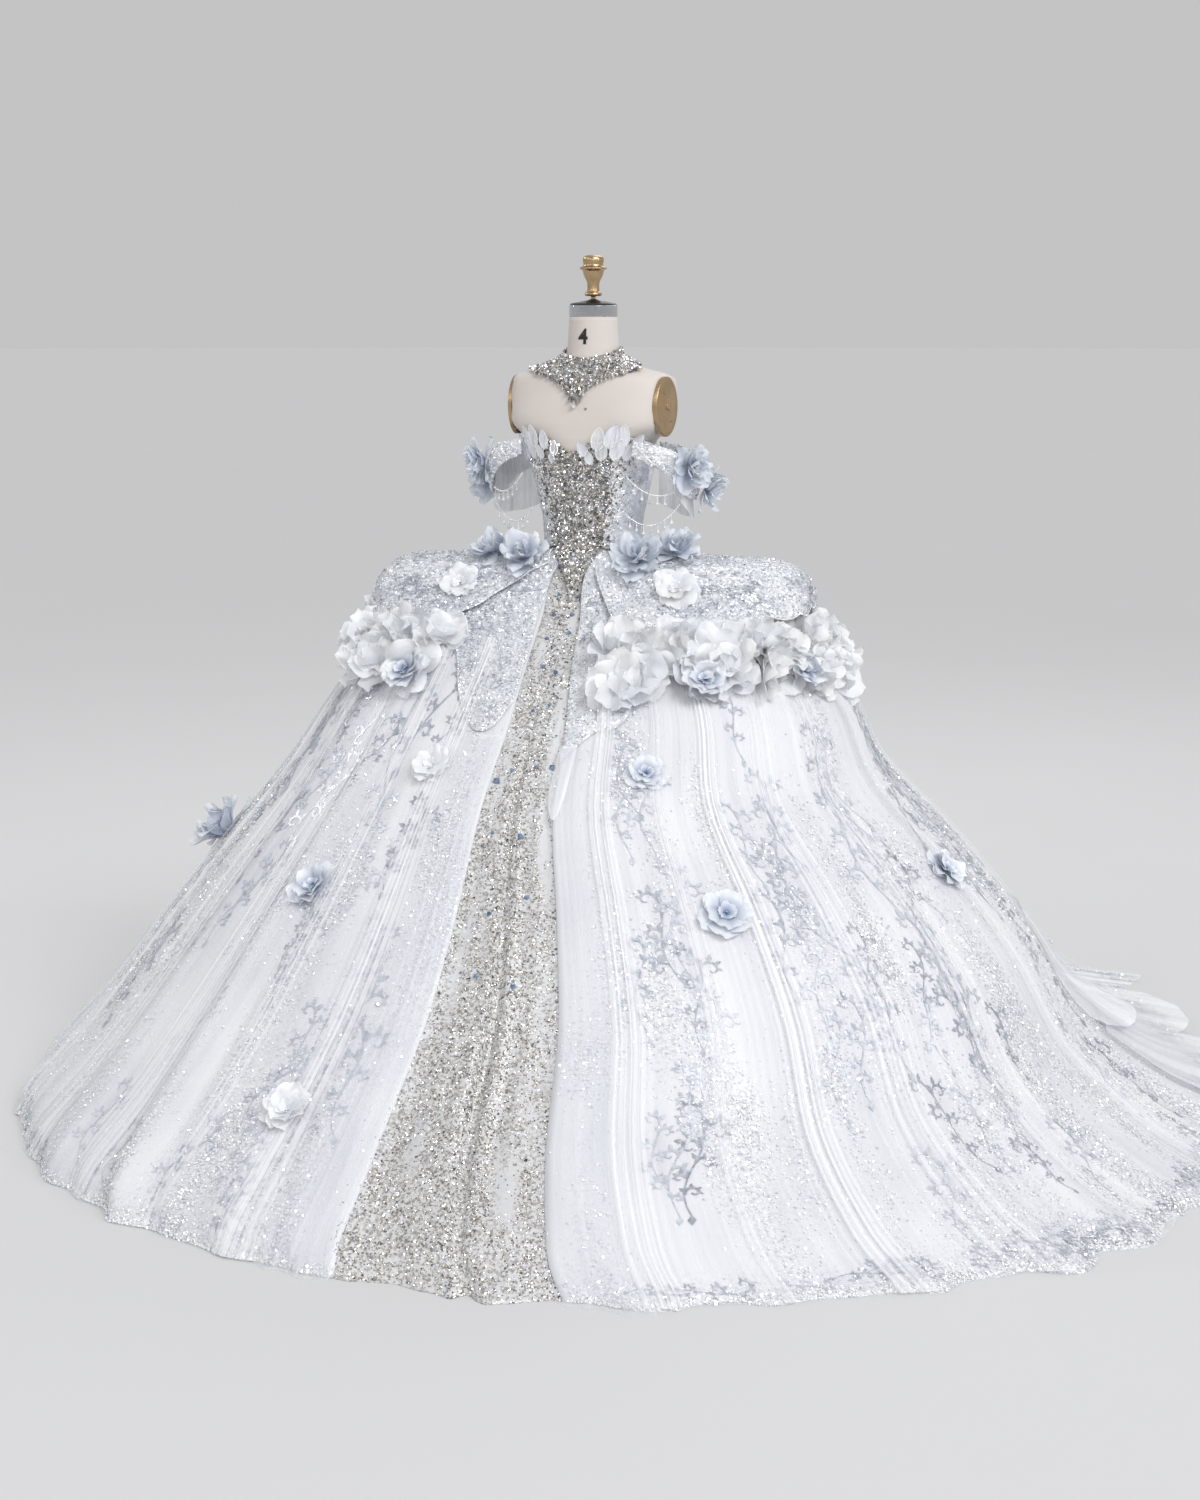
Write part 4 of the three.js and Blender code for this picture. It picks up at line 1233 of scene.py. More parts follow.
def add_cone(
    bm: Bm, sides: int, low: float, high: float, depth: float, middle: Triple = (0, 0, 0), capped: bool = True
) -> None:
    """Adds a cone along +Z.

    Args:
        bm: The bmesh that gets it.
        sides: Number of its sides.
        low: Radius at the bottom.
        high: Radius at the top.
        depth: Height.
        middle: Where its middle goes.
        capped: Whether its ends are closed.
    """
    made = bmesh.ops.create_cone(
        bm, cap_ends=capped, segments=sides, radius1=low, radius2=high, depth=depth
    )
    bmesh.ops.translate(bm, verts=made["verts"], vec=Vector(middle))


def set_down(bm: Bm, facing: Vector, place: Vector) -> None:
    """Turns a bmesh so that its +Z faces a direction, and moves it."""
    bmesh.ops.rotate(bm, verts=bm.verts, cent=(0, 0, 0), matrix=facing.to_track_quat("Z", "Y").to_matrix())
    bmesh.ops.translate(bm, verts=bm.verts, vec=place)


def only(kind: type, parts: Sequence[object]) -> list:
    """The parts of one kind."""
    return [part for part in parts if isinstance(part, kind)]


def round_stone() -> Template:
    """Five-sided cut stone with a flat table, radius 1.

    Returns:
        The template.
    """
    bm = bmesh.new()
    add_cone(bm, 5, 1.0, 0.5, 0.7, (0, 0, 0.35))
    under = [face for face in bm.faces if face.calc_center_median().z < 0.01]
    bmesh.ops.delete(bm, geom=under, context="FACES_ONLY")
    return Template.of(bm)


def pointed_stone() -> Template:
    """Four-sided pyramid stone, radius 1.

    Returns:
        The template.
    """
    bm = bmesh.new()
    add_cone(bm, 4, 1.0, 0.0, 0.8, (0, 0, 0.4), capped=False)
    return Template.of(bm)


def sequin() -> Template:
    """Flat four-cornered sequin, radius 1.

    Returns:
        The template.
    """
    bm = bmesh.new()
    bmesh.ops.create_circle(bm, cap_ends=True, segments=4, radius=1.0)
    return Template.of(bm)


def bead() -> Template:
    """Small round bead, radius 1.

    Returns:
        The template.
    """
    bm = bmesh.new()
    bmesh.ops.create_icosphere(bm, subdivisions=1, radius=1.0)
    return Template.of(bm, smooth=True)


def drop() -> Template:
    """Cut drop hanging from the origin along +Y, 1 long.

    Returns:
        The template.
    """
    bm = bmesh.new()
    add_cone(bm, 6, 0.36, 0.05, 0.68, (0, 0, -0.34), capped=False)
    rim = [edge for edge in bm.edges if all(vert.co.z < -0.6 for vert in edge.verts)]
    tip = only(bmesh.types.BMVert, bmesh.ops.extrude_edge_only(bm, edges=rim)["geom"])
    bmesh.ops.translate(bm, verts=tip, vec=(0, 0, -0.3))
    bmesh.ops.scale(bm, verts=tip, vec=(0.15, 0.15, 1))
    upright = Vector((0, 0, -1)).rotation_difference(Vector((0, 1, 0))).to_matrix()
    bmesh.ops.rotate(bm, verts=bm.verts, cent=(0, 0, 0), matrix=upright)
    bmesh.ops.recalc_face_normals(bm, faces=bm.faces)
    return Template.of(bm)


def petal(phase: float, slim: float, frill: float = 0.11) -> Template:
    """Ruffled petal, 1 long along +Y from its foot, cupped towards +Z.

    Args:
        phase: Offset that makes each petal's ruffle its own.
        slim: 0 for a round petal, 1 for a long pointed one.
        frill: Height of the ruffle at the tip.

    Returns:
        The template.
    """

    def shape(flat: Array) -> Array:
        """Points of the petal.

        Args:
            flat: Points of the flat grid.

        Returns:
            Their places.
        """
        across, t = 2 * flat[:, 0], flat[:, 1] + 0.5
        edge = np.abs(across)
        rounded = 0.07 + 0.42 * np.sin(np.pi * np.minimum(t * 0.84 + 0.02, 1.0)) ** 0.75
        pointed = 0.03 + 0.24 * np.sin(np.pi * t**0.9) ** 0.8
        width = rounded * (1 - slim) + pointed * slim
        ripple = t * np.sin(3.4 * across + phase) + 0.5 * edge * np.sin(6.5 * t + 2 * phase)
        notch = (1 - slim) * (0.12 * edge**2 * t + 0.03 * t * np.sin(7 * across + phase))
        return np.stack([across * width, t - notch, 0.1 * (edge**2 * width + t**2) + frill * ripple], 1)

    bm = new_grid(6, 7)
    bend(bm.verts, shape)
    return Template.of(bm, smooth=True)


@dataclass(frozen=True)
class FlowerHead:
    """Whorls of petals, each of count, tilt in radians, scale and rise in metres."""

    whorls: tuple[tuple[int, float, float, float], ...]
    slim: float
    disorder: float

    def petals(self, rng: Rng, foot: Array, axis: Array, radius: float) -> tuple[Array, ...]:
        """Places of the petals of one flower.

        Args:
            rng: The seeded generator.
            foot: Where the flower is sewn on.
            axis: Direction in which it opens.
            radius: Radius of the open flower in metres.

        Returns:
            Feet, facing directions, petal directions and sizes.
        """
        axis = unit(axis)
        first, second = facing_pair(axis)
        counts = [whorl[0] for whorl in self.whorls]
        tilt, scale, rise = (np.repeat([whorl[k] for whorl in self.whorls], counts) for k in (1, 2, 3))
        step = np.concatenate([np.arange(count) / count for count in counts])
        turn = math.tau * step + rng.uniform(-0.25, 0.25, len(step)) + 0.7 * scale
        lean = (tilt + rng.normal(0, self.disorder, len(step)))[:, None]
        out = first * np.cos(turn)[:, None] + second * np.sin(turn)[:, None]
        along = out * np.cos(lean) + axis * np.sin(lean)
        facing = axis * np.cos(lean) - out * np.sin(lean)
        length = radius * scale * rng.uniform(0.82, 1.12, len(step))
        sizes = np.stack([length * rng.uniform(0.95, 1.25, len(step)), length, length * 0.9], 1)
        return foot + axis * (rise[:, None] + 1.5 * MM) + out * radius * 0.05, facing, along, sizes


OPEN_HEAD = FlowerHead(((7, 0.12, 1.0, 0.001), (6, 0.3, 0.78, 0.003), (6, 0.62, 0.36, 0.005)), 0.1, 0.16)
SPIKY_HEAD = FlowerHead(((10, 0.25, 1.25, 0.001), (9, 0.65, 1.1, 0.005), (8, 1.05, 0.85, 0.008)), 0.6, 0.36)
PUFF_HEAD = FlowerHead(((5, 0.2, 1.05, 0.001), (4, 0.75, 0.9, 0.008)), 0.05, 0.34)


def leaf_point(side: Array, t: Array) -> Array:
    """Point of a pointed leaf, 1 long along +Y from its foot, slightly keeled."""
    half = 0.02 + 0.2 * np.sin(np.pi * np.maximum(t, 0.0) ** 0.85) ** 0.7
    return np.stack([side * half, t, 0.05 * np.abs(side) + 0.10 * t**2], -1)


def pointed_leaf() -> Template:
    """Blade of a pointed leaf.

    Returns:
        The template.
    """
    bm = new_grid(4, 8)
    bend(bm.verts, lambda flat: leaf_point(2 * flat[:, 0], flat[:, 1] + 0.5))
    return Template.of(bm, smooth=True)


def leaf_beads() -> Template:
    """Beads sewn round a pointed leaf and up its middle.

    Returns:
        The template.
    """
    bm = bmesh.new()
    spots = [(side, k / 17) for side in (-1.0, 1.0) for k in range(18)]
    spots += [(0.0, k / 12) for k in range(1, 11)]
    for point in leaf_point(*np.array(spots).T) + 0.015 * UP:
        add_cone(bm, 4, 0.034, 0, 0.04, point, capped=False)
    return Template.of(bm)


def strip(bm: Bm, line: Array, widths: Array) -> None:
    """Adds a flat thread or leaf along a line.

    Args:
        bm: The bmesh that gets it.
        line: Points (n, 2).
        widths: Width at each point.
    """
    last = len(line) - 1
    ahead = np.gradient(line, axis=0)
    side = unit(np.stack([ahead[:, 1], -ahead[:, 0]], 1)) * widths[:, None]

    def place(flat: Array) -> Array:
        """Points of the thread by points of the flat grid."""
        step = np.round((flat[:, 1] + 0.5) * last).astype(int)
        return np.pad(line[step] + side[step] * flat[:, :1], ((0, 0), (0, 1)))

    bend(bmesh.ops.create_grid(bm, x_segments=1, y_segments=last, size=0.5)["verts"], place)


def sprig(bm: Bm, foot: Array, turn: float, length: float) -> None:
    """Adds a small flat leaf at a foot, turned in radians."""
    line = foot + np.outer([0, 0.45, 1], [math.cos(turn), math.sin(turn)]) * length
    strip(bm, line, np.array([0.14, 0.60, 0.05]) * length)


def scroll_spray(seed: int, branches: int = 6) -> Template:
    """Flat embroidered spray: a curved stem with curls and leaves, 1 long down +Y.

    Args:
        seed: Seed of the spray's own irregularities.
        branches: Number of curls.

    Returns:
        The template; x across, y down.
    """
    rng = np.random.default_rng(seed)
    bm = bmesh.new()
    t = np.linspace(0, 1, 12)
    phase = rng.uniform(0, 2)
    stem = np.stack([0.07 * (np.sin(5.6 * t + phase) - math.sin(phase)), t], 1)
    strip(bm, stem, np.linspace(0.018, 0.008, len(t)))
    s = np.linspace(0, 1, 14)
    for k in range(branches):
        place = 0.04 + 0.9 * k / branches
        foot = np.array([np.interp(place, t, stem[:, 0]), place])
        side = 1 if k % 2 else -1
        radius = rng.uniform(0.06, 0.10) * (1.15 - 0.55 * place)
        rise = rng.uniform(-0.5, 0.5)
        towards = np.array([side * math.cos(rise), math.sin(rise)])
        start = math.atan2(-towards[1], -towards[0])
        angle = start + side * s * rng.uniform(5.0, 6.4)
        spokes = np.stack([np.cos(angle), np.sin(angle)], 1)
        curl = foot + towards * radius + spokes * (radius * (1 - 0.8 * s**0.8))[:, None]
        strip(bm, curl, np.linspace(0.026, 0.012, len(s)))
        for step in (1, 3, 5, 7):
            length = rng.uniform(0.9, 1.4) * radius * (0.85 - 0.05 * step)
            sprig(bm, curl[step], angle[step] + side * 0.55, length)
    sprig(bm, stem[-1], math.pi / 2, 0.09)
    return Template.of(bm)


def wrapped(
    patch: Patch, template: Template, spots: tuple[Array, Array], sizes: Array, turns: Array, lift: float
) -> Array:
    """Copies of a flat motif bent onto a patch.

    Args:
        patch: The cloth.
        template: The flat motif, x across and y down.
        spots: u and v of each motif's origin.
        sizes: Length of each motif in metres.
        turns: Turn of each motif in radians.
        lift: Height above the cloth in metres.

    Returns:
        Corner points of the copies that lie wholly on the patch.
    """
    size = len(template.points)
    x = template.points[None, :, 0] * sizes[:, None]
    y = template.points[None, :, 1] * sizes[:, None]
    cosine, sine = np.cos(turns)[:, None], np.sin(turns)[:, None]
    across, down = x * cosine - y * sine, x * sine + y * cosine
    u, v = patch.walk(*(np.repeat(side, size) for side in spots), across.ravel(), down.ravel())
    inside = ((u > 0) & (u < 1) & (v > 0) & (v < 1)).reshape(-1, size).all(1)
    keep = np.repeat(inside, size)
    return patch.at(u[keep], v[keep], lift).reshape(-1, size, 3)


def embroidered(
    name: str,
    patch: Patch,
    template: Template,
    count: int,
    size: tuple[float, float],
    turn: Callable[[int], Array],
    rng: Rng,
    material: Material,
    slot: str,
) -> Piece:
    """Sprays embroidered all over a patch.

    Args:
        name: Name of the piece.
        patch: The cloth.
        template: The spray.
        count: Greatest number of sprays.
        size: Smallest and largest length in metres.
        turn: Random turns in radians, by their number.
        rng: The seeded generator.
        material: Material of the thread.
        slot: The record's material slot.

    Returns:
        The dressed piece.
    """
    spots = patch.sample(count * 3, rng)
    lengths = rng.uniform(*size, count * 3)
    places = wrapped(patch, template, spots, lengths, turn(count * 3), 0.9 * MM)[:count]
    return sewn(name, template, places, rng, material, slot)


def scattered(
    name: str,
    patch: Patch,
    template: Template,
    spots: tuple[Array, Array],
    radius: tuple[float, float],
    rng: Rng,
    material: Material,
    slot: str = "crystal",
    lift: float = 0.0,
    tilt: float = 0.15,
) -> Piece:
    """Stones sewn onto a patch.

    Args:
        name: Name of the piece.
        patch: The cloth.
        template: The stone.
        spots: u and v of the stones.
        radius: Smallest and largest radius in mm.
        rng: The seeded generator.
        material: Material of the stones.
        slot: The record's material slot.
        lift: Height above the cloth in mm.
        tilt: How far the stones lean at random.

    Returns:
        The dressed piece.
    """
    count = len(spots[0])
    facing = patch.normals(*spots) + rng.normal(0, tilt, (count, 3))
    along = rng.normal(0, 1, (count, 3))
    sizes = (radius[0] + (radius[1] - radius[0]) * rng.random(count) ** 2) * MM
    places = turned_copies(template, patch.at(*spots, lift * MM), facing, along, sizes)
    places[..., 2] = np.maximum(places[..., 2], 0.3 * MM)
    return sewn(name, template, places, rng, material, slot)


# ---------------------------------------------------------------- dress form

# Steps of a domed arm plate from its rim inwards: inset as a share of the plate, rise in metres.
PLATE_STEPS = ((0.02, 0.0015), (0.05, -0.001), (0.14, 0.002), (0.12, 0.0015))
# Knob and screws of an arm plate in mm: x, y, radius, height.
PLATE_KNOBS = ((0, 0, 9, 6), (14, -30, 2.8, 3), (-14, 30, 2.8, 3))
# Outline of the finial in mm: radius, height.
FINIAL = (
    (0, 0), (5, 0), (5, 5), (17, 6), (18.5, 9.5), (17, 13), (13.5, 15), (12.6, 20), (12.4, 27), (13.2, 34),
    (15, 38), (18, 44), (20.5, 50), (22, 57), (25, 60), (28, 61), (28.6, 63), (28, 65), (22, 67), (20.5, 71),
    (22, 77), (22.2, 82), (20, 86.5), (15, 89), (8, 90), (0, 90.2),
)


@dataclass
class DressForm:
    """Padded form with its arm plates, neck fittings and size numeral; sizes in metres."""

    finishes: Finishes
    plate_width: float = 0.100
    plate_height: float = 0.124
    plate_depth: float = 0.0075
    plate_turn: float = 5.0
    plate_x: float = 0.165
    plate_z: float = 1.436
    armhole: float = 0.095
    neck_radius: float = 0.051
    neck_top: float = 1.6203
    band_height: float = 0.023
    gap: float = 0.3 * MM
    numeral_size: float = 0.0435
    numeral_z: float = 1.578
    screw_angle: float = 8.0
    screw_z: float = 1.432

    def build(self) -> None:
        """Builds every piece of the form."""
        self.torso()
        for side in Side:
            self.arm_plate(side)
        self.neck()
        self.numeral()
        self.screw()
        for node in ("stand_base", "stand_pole"):
            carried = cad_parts[node]
            carried.data.materials.clear()
            carried.data.materials.append(self.finishes.steel)

    def torso(self) -> None:
        """Smooth cover, cut flat at both armholes."""
        bm = new_grid(64, 96)
        bend(bm.verts, lambda flat: FORM.at(flat[:, 0] * 360, (0.5 - flat[:, 1]) * FORM.last))
        bmesh.ops.remove_doubles(bm, verts=bm.verts, dist=TINY)
        for outward in (self.outward(side) for side in Side):
            for vert in bm.verts:
                past = vert.co.dot(outward) - self.plate_x
                if past > 0 and abs(vert.co.z - self.plate_z) < self.armhole:
                    vert.co -= outward * past
        bmesh.ops.holes_fill(bm, edges=[edge for edge in bm.edges if edge.is_boundary], sides=0)
        bmesh.ops.recalc_face_normals(bm, faces=bm.faces)
        shaped(bm, "form_cover", self.finishes.cover, "linen", "form_torso").data.shade_smooth()

    def outward(self, side: Side) -> Vector:
        """Direction in which an arm plate faces."""
        angle = math.radians(-self.plate_turn * side.value + FIGURE_TURN)
        return Vector((side.value * math.cos(angle), side.value * math.sin(angle), 0))

    def arm_plate(self, side: Side) -> None:
        """Domed oval brass plate with a rim, a knob and two screws.

        Args:
            side: Its side.
        """
        bm = bmesh.new()
        bmesh.ops.create_circle(bm, cap_ends=True, segments=64, radius=0.5)
        back = bm.faces[:]
        face = only(bmesh.types.BMFace, bmesh.ops.extrude_face_region(bm, geom=back)["geom"])
        bmesh.ops.translate(bm, verts=face[0].verts, vec=(0, 0, self.plate_depth))
        bmesh.ops.delete(bm, geom=back, context="FACES")
        for inset, rise in PLATE_STEPS:
            bmesh.ops.inset_region(bm, faces=face, thickness=inset, use_even_offset=False)
            bmesh.ops.translate(bm, verts=face[0].verts, vec=(0, 0, rise))
        bmesh.ops.scale(bm, verts=bm.verts, vec=(self.plate_width, self.plate_height, 1))
        for x, y, radius, height in PLATE_KNOBS:
            middle = (x * MM, y * MM, self.plate_depth + 4 * MM)
            add_cone(bm, 16, radius * MM, 0.75 * radius * MM, height * MM, middle)
        outward = self.outward(side)
        set_down(bm, outward, outward * (self.plate_x + self.gap) + Vector((0, 0, self.plate_z)))
        bmesh.ops.recalc_face_normals(bm, faces=bm.faces)
        shaped(bm, f"oval_plate_{side.word}", self.finishes.brass, "brass", f"arm_plate_{side.word}")

    def spun(self, profile: Pairs, foot: float, name: str, material: Material, slot: str, node: str) -> None:
        """Turned piece on the pole axis.

        Args:
            profile: Pairs of radius and height in mm, from the axis round to the axis.
            foot: Height of its foot in metres.
            name: Name of the piece.
            material: Its material.
            slot: The record's material slot.
            node: CAD node that it stands for.
        """
        bm = bmesh.new()
        verts = [bm.verts.new((radius * MM, 0, foot + height * MM)) for radius, height in profile]
        for pair in zip(verts, verts[1:]):
            bm.edges.new(pair)
        around = {"cent": (0, 0, 0), "axis": (0, 0, 1), "angle": math.tau, "steps": 56, "use_merge": True}
        bmesh.ops.spin(bm, geom=bm.verts[:] + bm.edges[:], **around)
        bmesh.ops.remove_doubles(bm, verts=bm.verts, dist=TINY)
        bmesh.ops.recalc_face_normals(bm, faces=bm.faces)
        piece = shaped(bm, name, material, slot, node)
        soft = piece.modifiers.new("soft edges", "BEVEL")
        soft.width = 0.9 * MM
        soft.segments = 2
        soft.limit_method = "ANGLE"
        piece.data.shade_smooth()
        piece.data.set_sharp_from_angle(angle=math.radians(38))

    def neck(self) -> None:
        """Chrome band, black cone cap and turned brass finial."""
        radius, band = self.neck_radius / MM, self.band_height / MM
        outline = ((0, 0), (radius, 0), (radius, band), (0, band))
        self.spun(outline, self.neck_top, "chrome_band", self.finishes.chrome, "chrome", "neck_band")
        foot = self.neck_top + self.band_height + self.gap
        outline = ((0, 0), (radius - 1, 0), (radius - 4, 4), (12, 10.5), (6, 13), (0, 13))
        self.spun(outline, foot, "black_cap", self.finishes.black, "black_metal", "neck_cap")
        foot += 13 * MM + self.gap
        self.spun(FINIAL, foot, "turned_finial", self.finishes.brass, "brass", "neck_finial")

    def numeral(self) -> None:
        """Plain size numeral printed on the front of the neck."""
        text = bpy.data.curves.new("size_numeral", "FONT")
        text.body = "4"
        text.align_x = "CENTER"
        text.align_y = "CENTER"
        text.size = self.numeral_size
        text.offset = 1.1 * MM
        text.extrude = 0.2 * MM
        holder = linked("numeral_text", text)
        bpy.context.view_layer.update()
        flat_mesh = bpy.data.meshes.new_from_object(
            holder.evaluated_get(bpy.context.evaluated_depsgraph_get())
        )
        bpy.data.objects.remove(holder)
        bm = bmesh.new()
        bm.from_mesh(flat_mesh)
        bpy.data.meshes.remove(flat_mesh)
        bmesh.ops.triangulate(bm, faces=bm.faces)
        long = [edge for edge in bm.edges if edge.calc_length() > 4 * MM]
        bmesh.ops.subdivide_edges(bm, edges=long, cuts=2)
        bend(bm.verts, self.on_neck)
        shaped(bm, "size_numeral", self.finishes.black, "black_metal")

    def on_neck(self, flat: Array) -> Array:
        """Flat points laid round the front of the neck."""
        angle, row = np.degrees(flat[:, 0] / 0.055), FORM.row_at(self.numeral_z + flat[:, 1])
        return FORM.out(angle, row, 0.6 * MM + flat[:, 2])

    def screw(self) -> None:
        """Small screw head on the chest."""
        place = np.array([self.screw_angle]), FORM.row_at(np.array([self.screw_z]))
        bm = bmesh.new()
        add_cone(bm, 14, 3.4 * MM, 2.6 * MM, 1.6 * MM)
        set_down(bm, Vector(FORM.normal(*place)[0]), Vector(FORM.out(*place, 0.8 * MM)[0]))
        shaped(bm, "chest_screw", self.finishes.chrome, "chrome")


# ---------------------------------------------------------------- collar and bodice

# Lower edge of the collar: ring angle in degrees, height in mm.
COLLAR_EDGE = ((0, 1446), (10, 1474), (22, 1494), (45, 1504), (90, 1516), (180, 1520))
# Pointed end of the front panel: skirt row, half width in mm.
BASQUE = ((0.25, 46), (1, 36), (2, 22), (3, 7), (3.35, 1.5))
# Leaves along the neckline: ring angle in degrees, height above it in mm.
LEAVES = {
    Side.LEFT: ((15, 6), (24, 14), (34, 20), (44, 18), (54, 12)),
    Side.RIGHT: ((14, 10), (23, 22), (33, 28), (43, 24), (54, 14)),
}


@dataclass
class Bodice:
    """Beaded collar, bodice panels, neckline leaves and appliques; sizes in metres."""

    finishes: Finishes
    clearance: float = 2.4 * MM
    wall: float = 2.4 * MM
    waist: float = 1.1355
    overlap: float = 10 * MM
    basque_middle: float = -15 * MM
    basque_lift: float = 8 * MM
    side_seam: float = 92.0
    placket_half: float = 5.0
    seam_gap: float = 0.1
    collar_stones: int = 1150
    front_stones: int = 3600
    rng: Rng = field(default_factory=lambda: np.random.default_rng(SEED + 1))

    def build(self) -> None:
        """Builds the collar, the panels and what is sewn on them."""
        self.collar()
        self.front()
        for side in Side:
            self.side_panel(side)
            self.back_panel(side)
            self.leaves(side)
        self.placket()

    @staticmethod
    def neckline(angle: Array) -> Array:
        """Height of the bodice's top edge in metres."""
        return look_up(NECKLINE, np.abs(angle)) * MM

    @staticmethod
    def seam(v: Array) -> Array:
        """Ring angle of the front seams by the share down the bodice."""
        return 38 - 10 * v**2

    @staticmethod
    def collar_top(angle: Array) -> Array:
        """Height of the collar's upper edge, lower at the front."""
        return 1.556 - 0.022 * np.clip(np.cos(np.radians(angle)), 0, 1)

    @staticmethod
    def collar_edge(angle: Array) -> Array:
        """Height of the collar's lower edge."""
        return look_up(COLLAR_EDGE, np.abs(angle)) * MM + 3 * MM * np.abs(np.sin(np.radians(angle * 6)))

    def side_edge(self, angle: Array) -> Array:
        """Height of a side panel's lower edge, higher next to the front panel."""
        return self.waist + self.overlap * (1 - ramp(np.abs(angle), 28, 49))

    def panel(self, low: Curve, high: Curve, bottom: Curve, top: Optional[Curve] = None) -> Patch:
        """Patch of a bodice panel between two seams and the neckline or another top edge."""
        return form_patch(low, high, top or self.neckline, bottom, self.clearance + self.wall)

    def collar(self) -> None:
        """Jewelled collar with a pointed front."""
        patch = form_patch(level(-180.0), level(180.0), self.collar_top, self.collar_edge, 6 * MM)
        net = patch.cloth("collar_net", 96, 20, wall=1.6 * MM, loop=True)
        dress(net, self.finishes.bodice, "crystal", "beaded_collar")
        spots = patch.sample(self.collar_stones, self.rng)
        stones = self.finishes.champagne
        scattered("collar_stones", patch, round_stone(), spots, (1.8, 4.4), self.rng, stones, lift=0.2)
        u = np.linspace(0, 1, 120, endpoint=False)
        v = np.full_like(u, 0.99)
        lengths = (5 + 5 * self.rng.random(len(u)) + 8 * hump((u - 0.5) / 0.03)) * MM
        places = turned_copies(drop(), patch.at(u, v, 0.8 * MM), patch.normals(u, v), DOWN, lengths)
        sewn("collar_drops", drop(), places, self.rng, stones, "crystal")

    def front_point(self, u: Array, v: Array) -> Array:
        """Point of the front panel, from the neckline to the tip of the basque.

        Args:
            u: Place across.
            v: Place down.

        Returns:
            Array of points.
        """
        across = 2 * u - 1
        knots = []
        for down in np.linspace(0, 1, 7):
            angle = across * self.seam(down)
            low = FORM.row_at(self.waist + self.overlap)
            row = FORM.row_at(self.neckline(angle)) * (1 - down) + low * down
            knots.append(FORM.out(angle, row, self.clearance + self.wall))
        for row, half in BASQUE:
            wide = SKIRT.measures(np.array(float(row)))[3]
            angle = np.degrees(np.arcsin((self.basque_middle + across * half * MM) / wide))
            knots.append(SKIRT.out(angle, row, self.basque_lift))
        return through(np.stack(knots), v)

    def front(self) -> None:
        """Beaded front panel with its pointed basque."""
        patch, rng, stones = Patch(self.front_point), self.rng, self.finishes.champagne
        cloth = patch.cloth("bodice_front_cloth", 24, 60, wall=self.wall)
        dress(cloth, self.finishes.bodice, "crystal", "bodice_front")
        u, v = patch.sample(self.front_stones, rng)
        large = self.front_stones // 3
        scattered("bodice_stones", patch, round_stone(), (u[:large], v[:large]), (2.4, 4.6), rng, stones)
        spots = u[large:], v[large:]
        scattered("bodice_beads", patch, pointed_stone(), spots, (1.6, 2.8), rng, stones, lift=0.3, tilt=0.3)
        spots = 0.5 + rng.normal(0, 0.12, 9), np.linspace(0.62, 0.95, 9)
        scattered("basque_jewels", patch, round_stone(), spots, (3.5, 5), rng, self.finishes.silver, lift=1.0)

    def sprays(self, patch: Patch, name: str, count: int, size: tuple[float, float]) -> None:
        """Small embroidered sprays over a panel.

        Args:
            patch: The panel.
            name: Name of the piece.
            count: Greatest number of sprays.
            size: Smallest and largest length in metres.
        """

        def turn(number: int) -> Array:
            """Random turns in radians."""
            return self.rng.normal(0, 0.7, number)

        thread, template = self.finishes.pale_vine, scroll_spray(5, 4)
        embroidered(name, patch, template, count, size, turn, self.rng, thread, "lace")

    def side_panel(self, side: Side) -> None:
        """Lace side panel with silver sprays and stones that thin out from the front seam.

        Args:
            side: Its side.
        """

        def seam(v: Array) -> Array:
            """Ring angle of the front seam, just clear of the front panel."""
            return side.value * (self.seam(v) + self.seam_gap)

        def beaded(u: Array, v: Array) -> Array:
            """Density of the beads, which reach furthest at the top."""
            return (1 - side.share(u)) ** 3 * (1.2 - 0.7 * v) + 0.06 * (1 - v)

        def jewelled(u: Array, v: Array) -> Array:
            """Density of the stones next to the front seam."""
            return (1 - side.share(u)) ** (3 + 4 * v)

        word, rng = side.word, self.rng
        edges = side.across(seam, level(side.value * (self.side_seam - self.seam_gap)))
        patch = self.panel(*edges, self.side_edge)
        piece = patch.cloth(f"bodice_lace_{word}", 26, 40, wall=self.wall)
        dress(piece, self.finishes.lace, "lace", f"bodice_side_{word}")
        self.sprays(patch, f"bodice_sprays_{word}", 34, (0.045, 0.085))
        beads, spots, metal = pointed_stone(), patch.sample(1500, rng, beaded), self.finishes.silver
        name = f"bodice_side_beads_{word}"
        scattered(name, patch, beads, spots, (1.4, 2.6), rng, metal, lift=0.2, tilt=0.3)
        stones, spots, metal = round_stone(), patch.sample(620, rng, jewelled), self.finishes.champagne
        scattered(f"bodice_side_stones_{word}", patch, stones, spots, (1.8, 3.8), rng, metal, lift=0.1)

    def back_panel(self, side: Side) -> None:
        """Lace back panel.

        Args:
            side: Its side.
        """
        near = side.value * (self.side_seam + self.seam_gap)
        far = side.value * (180 - self.placket_half - self.seam_gap)
        patch = self.panel(*side.across(level(near), level(far)), level(self.waist))
        piece = patch.cloth(f"back_lace_{side.word}", 30, 36, wall=self.wall)
        dress(piece, self.finishes.lace, "lace", f"bodice_back_{side.word}")
        self.sprays(patch, f"back_sprays_{side.word}", 36, (0.05, 0.09))
        stones, spots, silver = pointed_stone(), patch.sample(420, self.rng), self.finishes.silver
        name = f"back_beads_{side.word}"
        scattered(name, patch, stones, spots, (1.3, 2.4), self.rng, silver, lift=0.2, tilt=0.3)

    def placket(self) -> None:
        """Narrow back placket with covered buttons."""

        def top(angle: Array) -> Array:
            """Height of the neckline on both sides of the centre back."""
            return self.neckline(180 - np.abs(angle - 180))

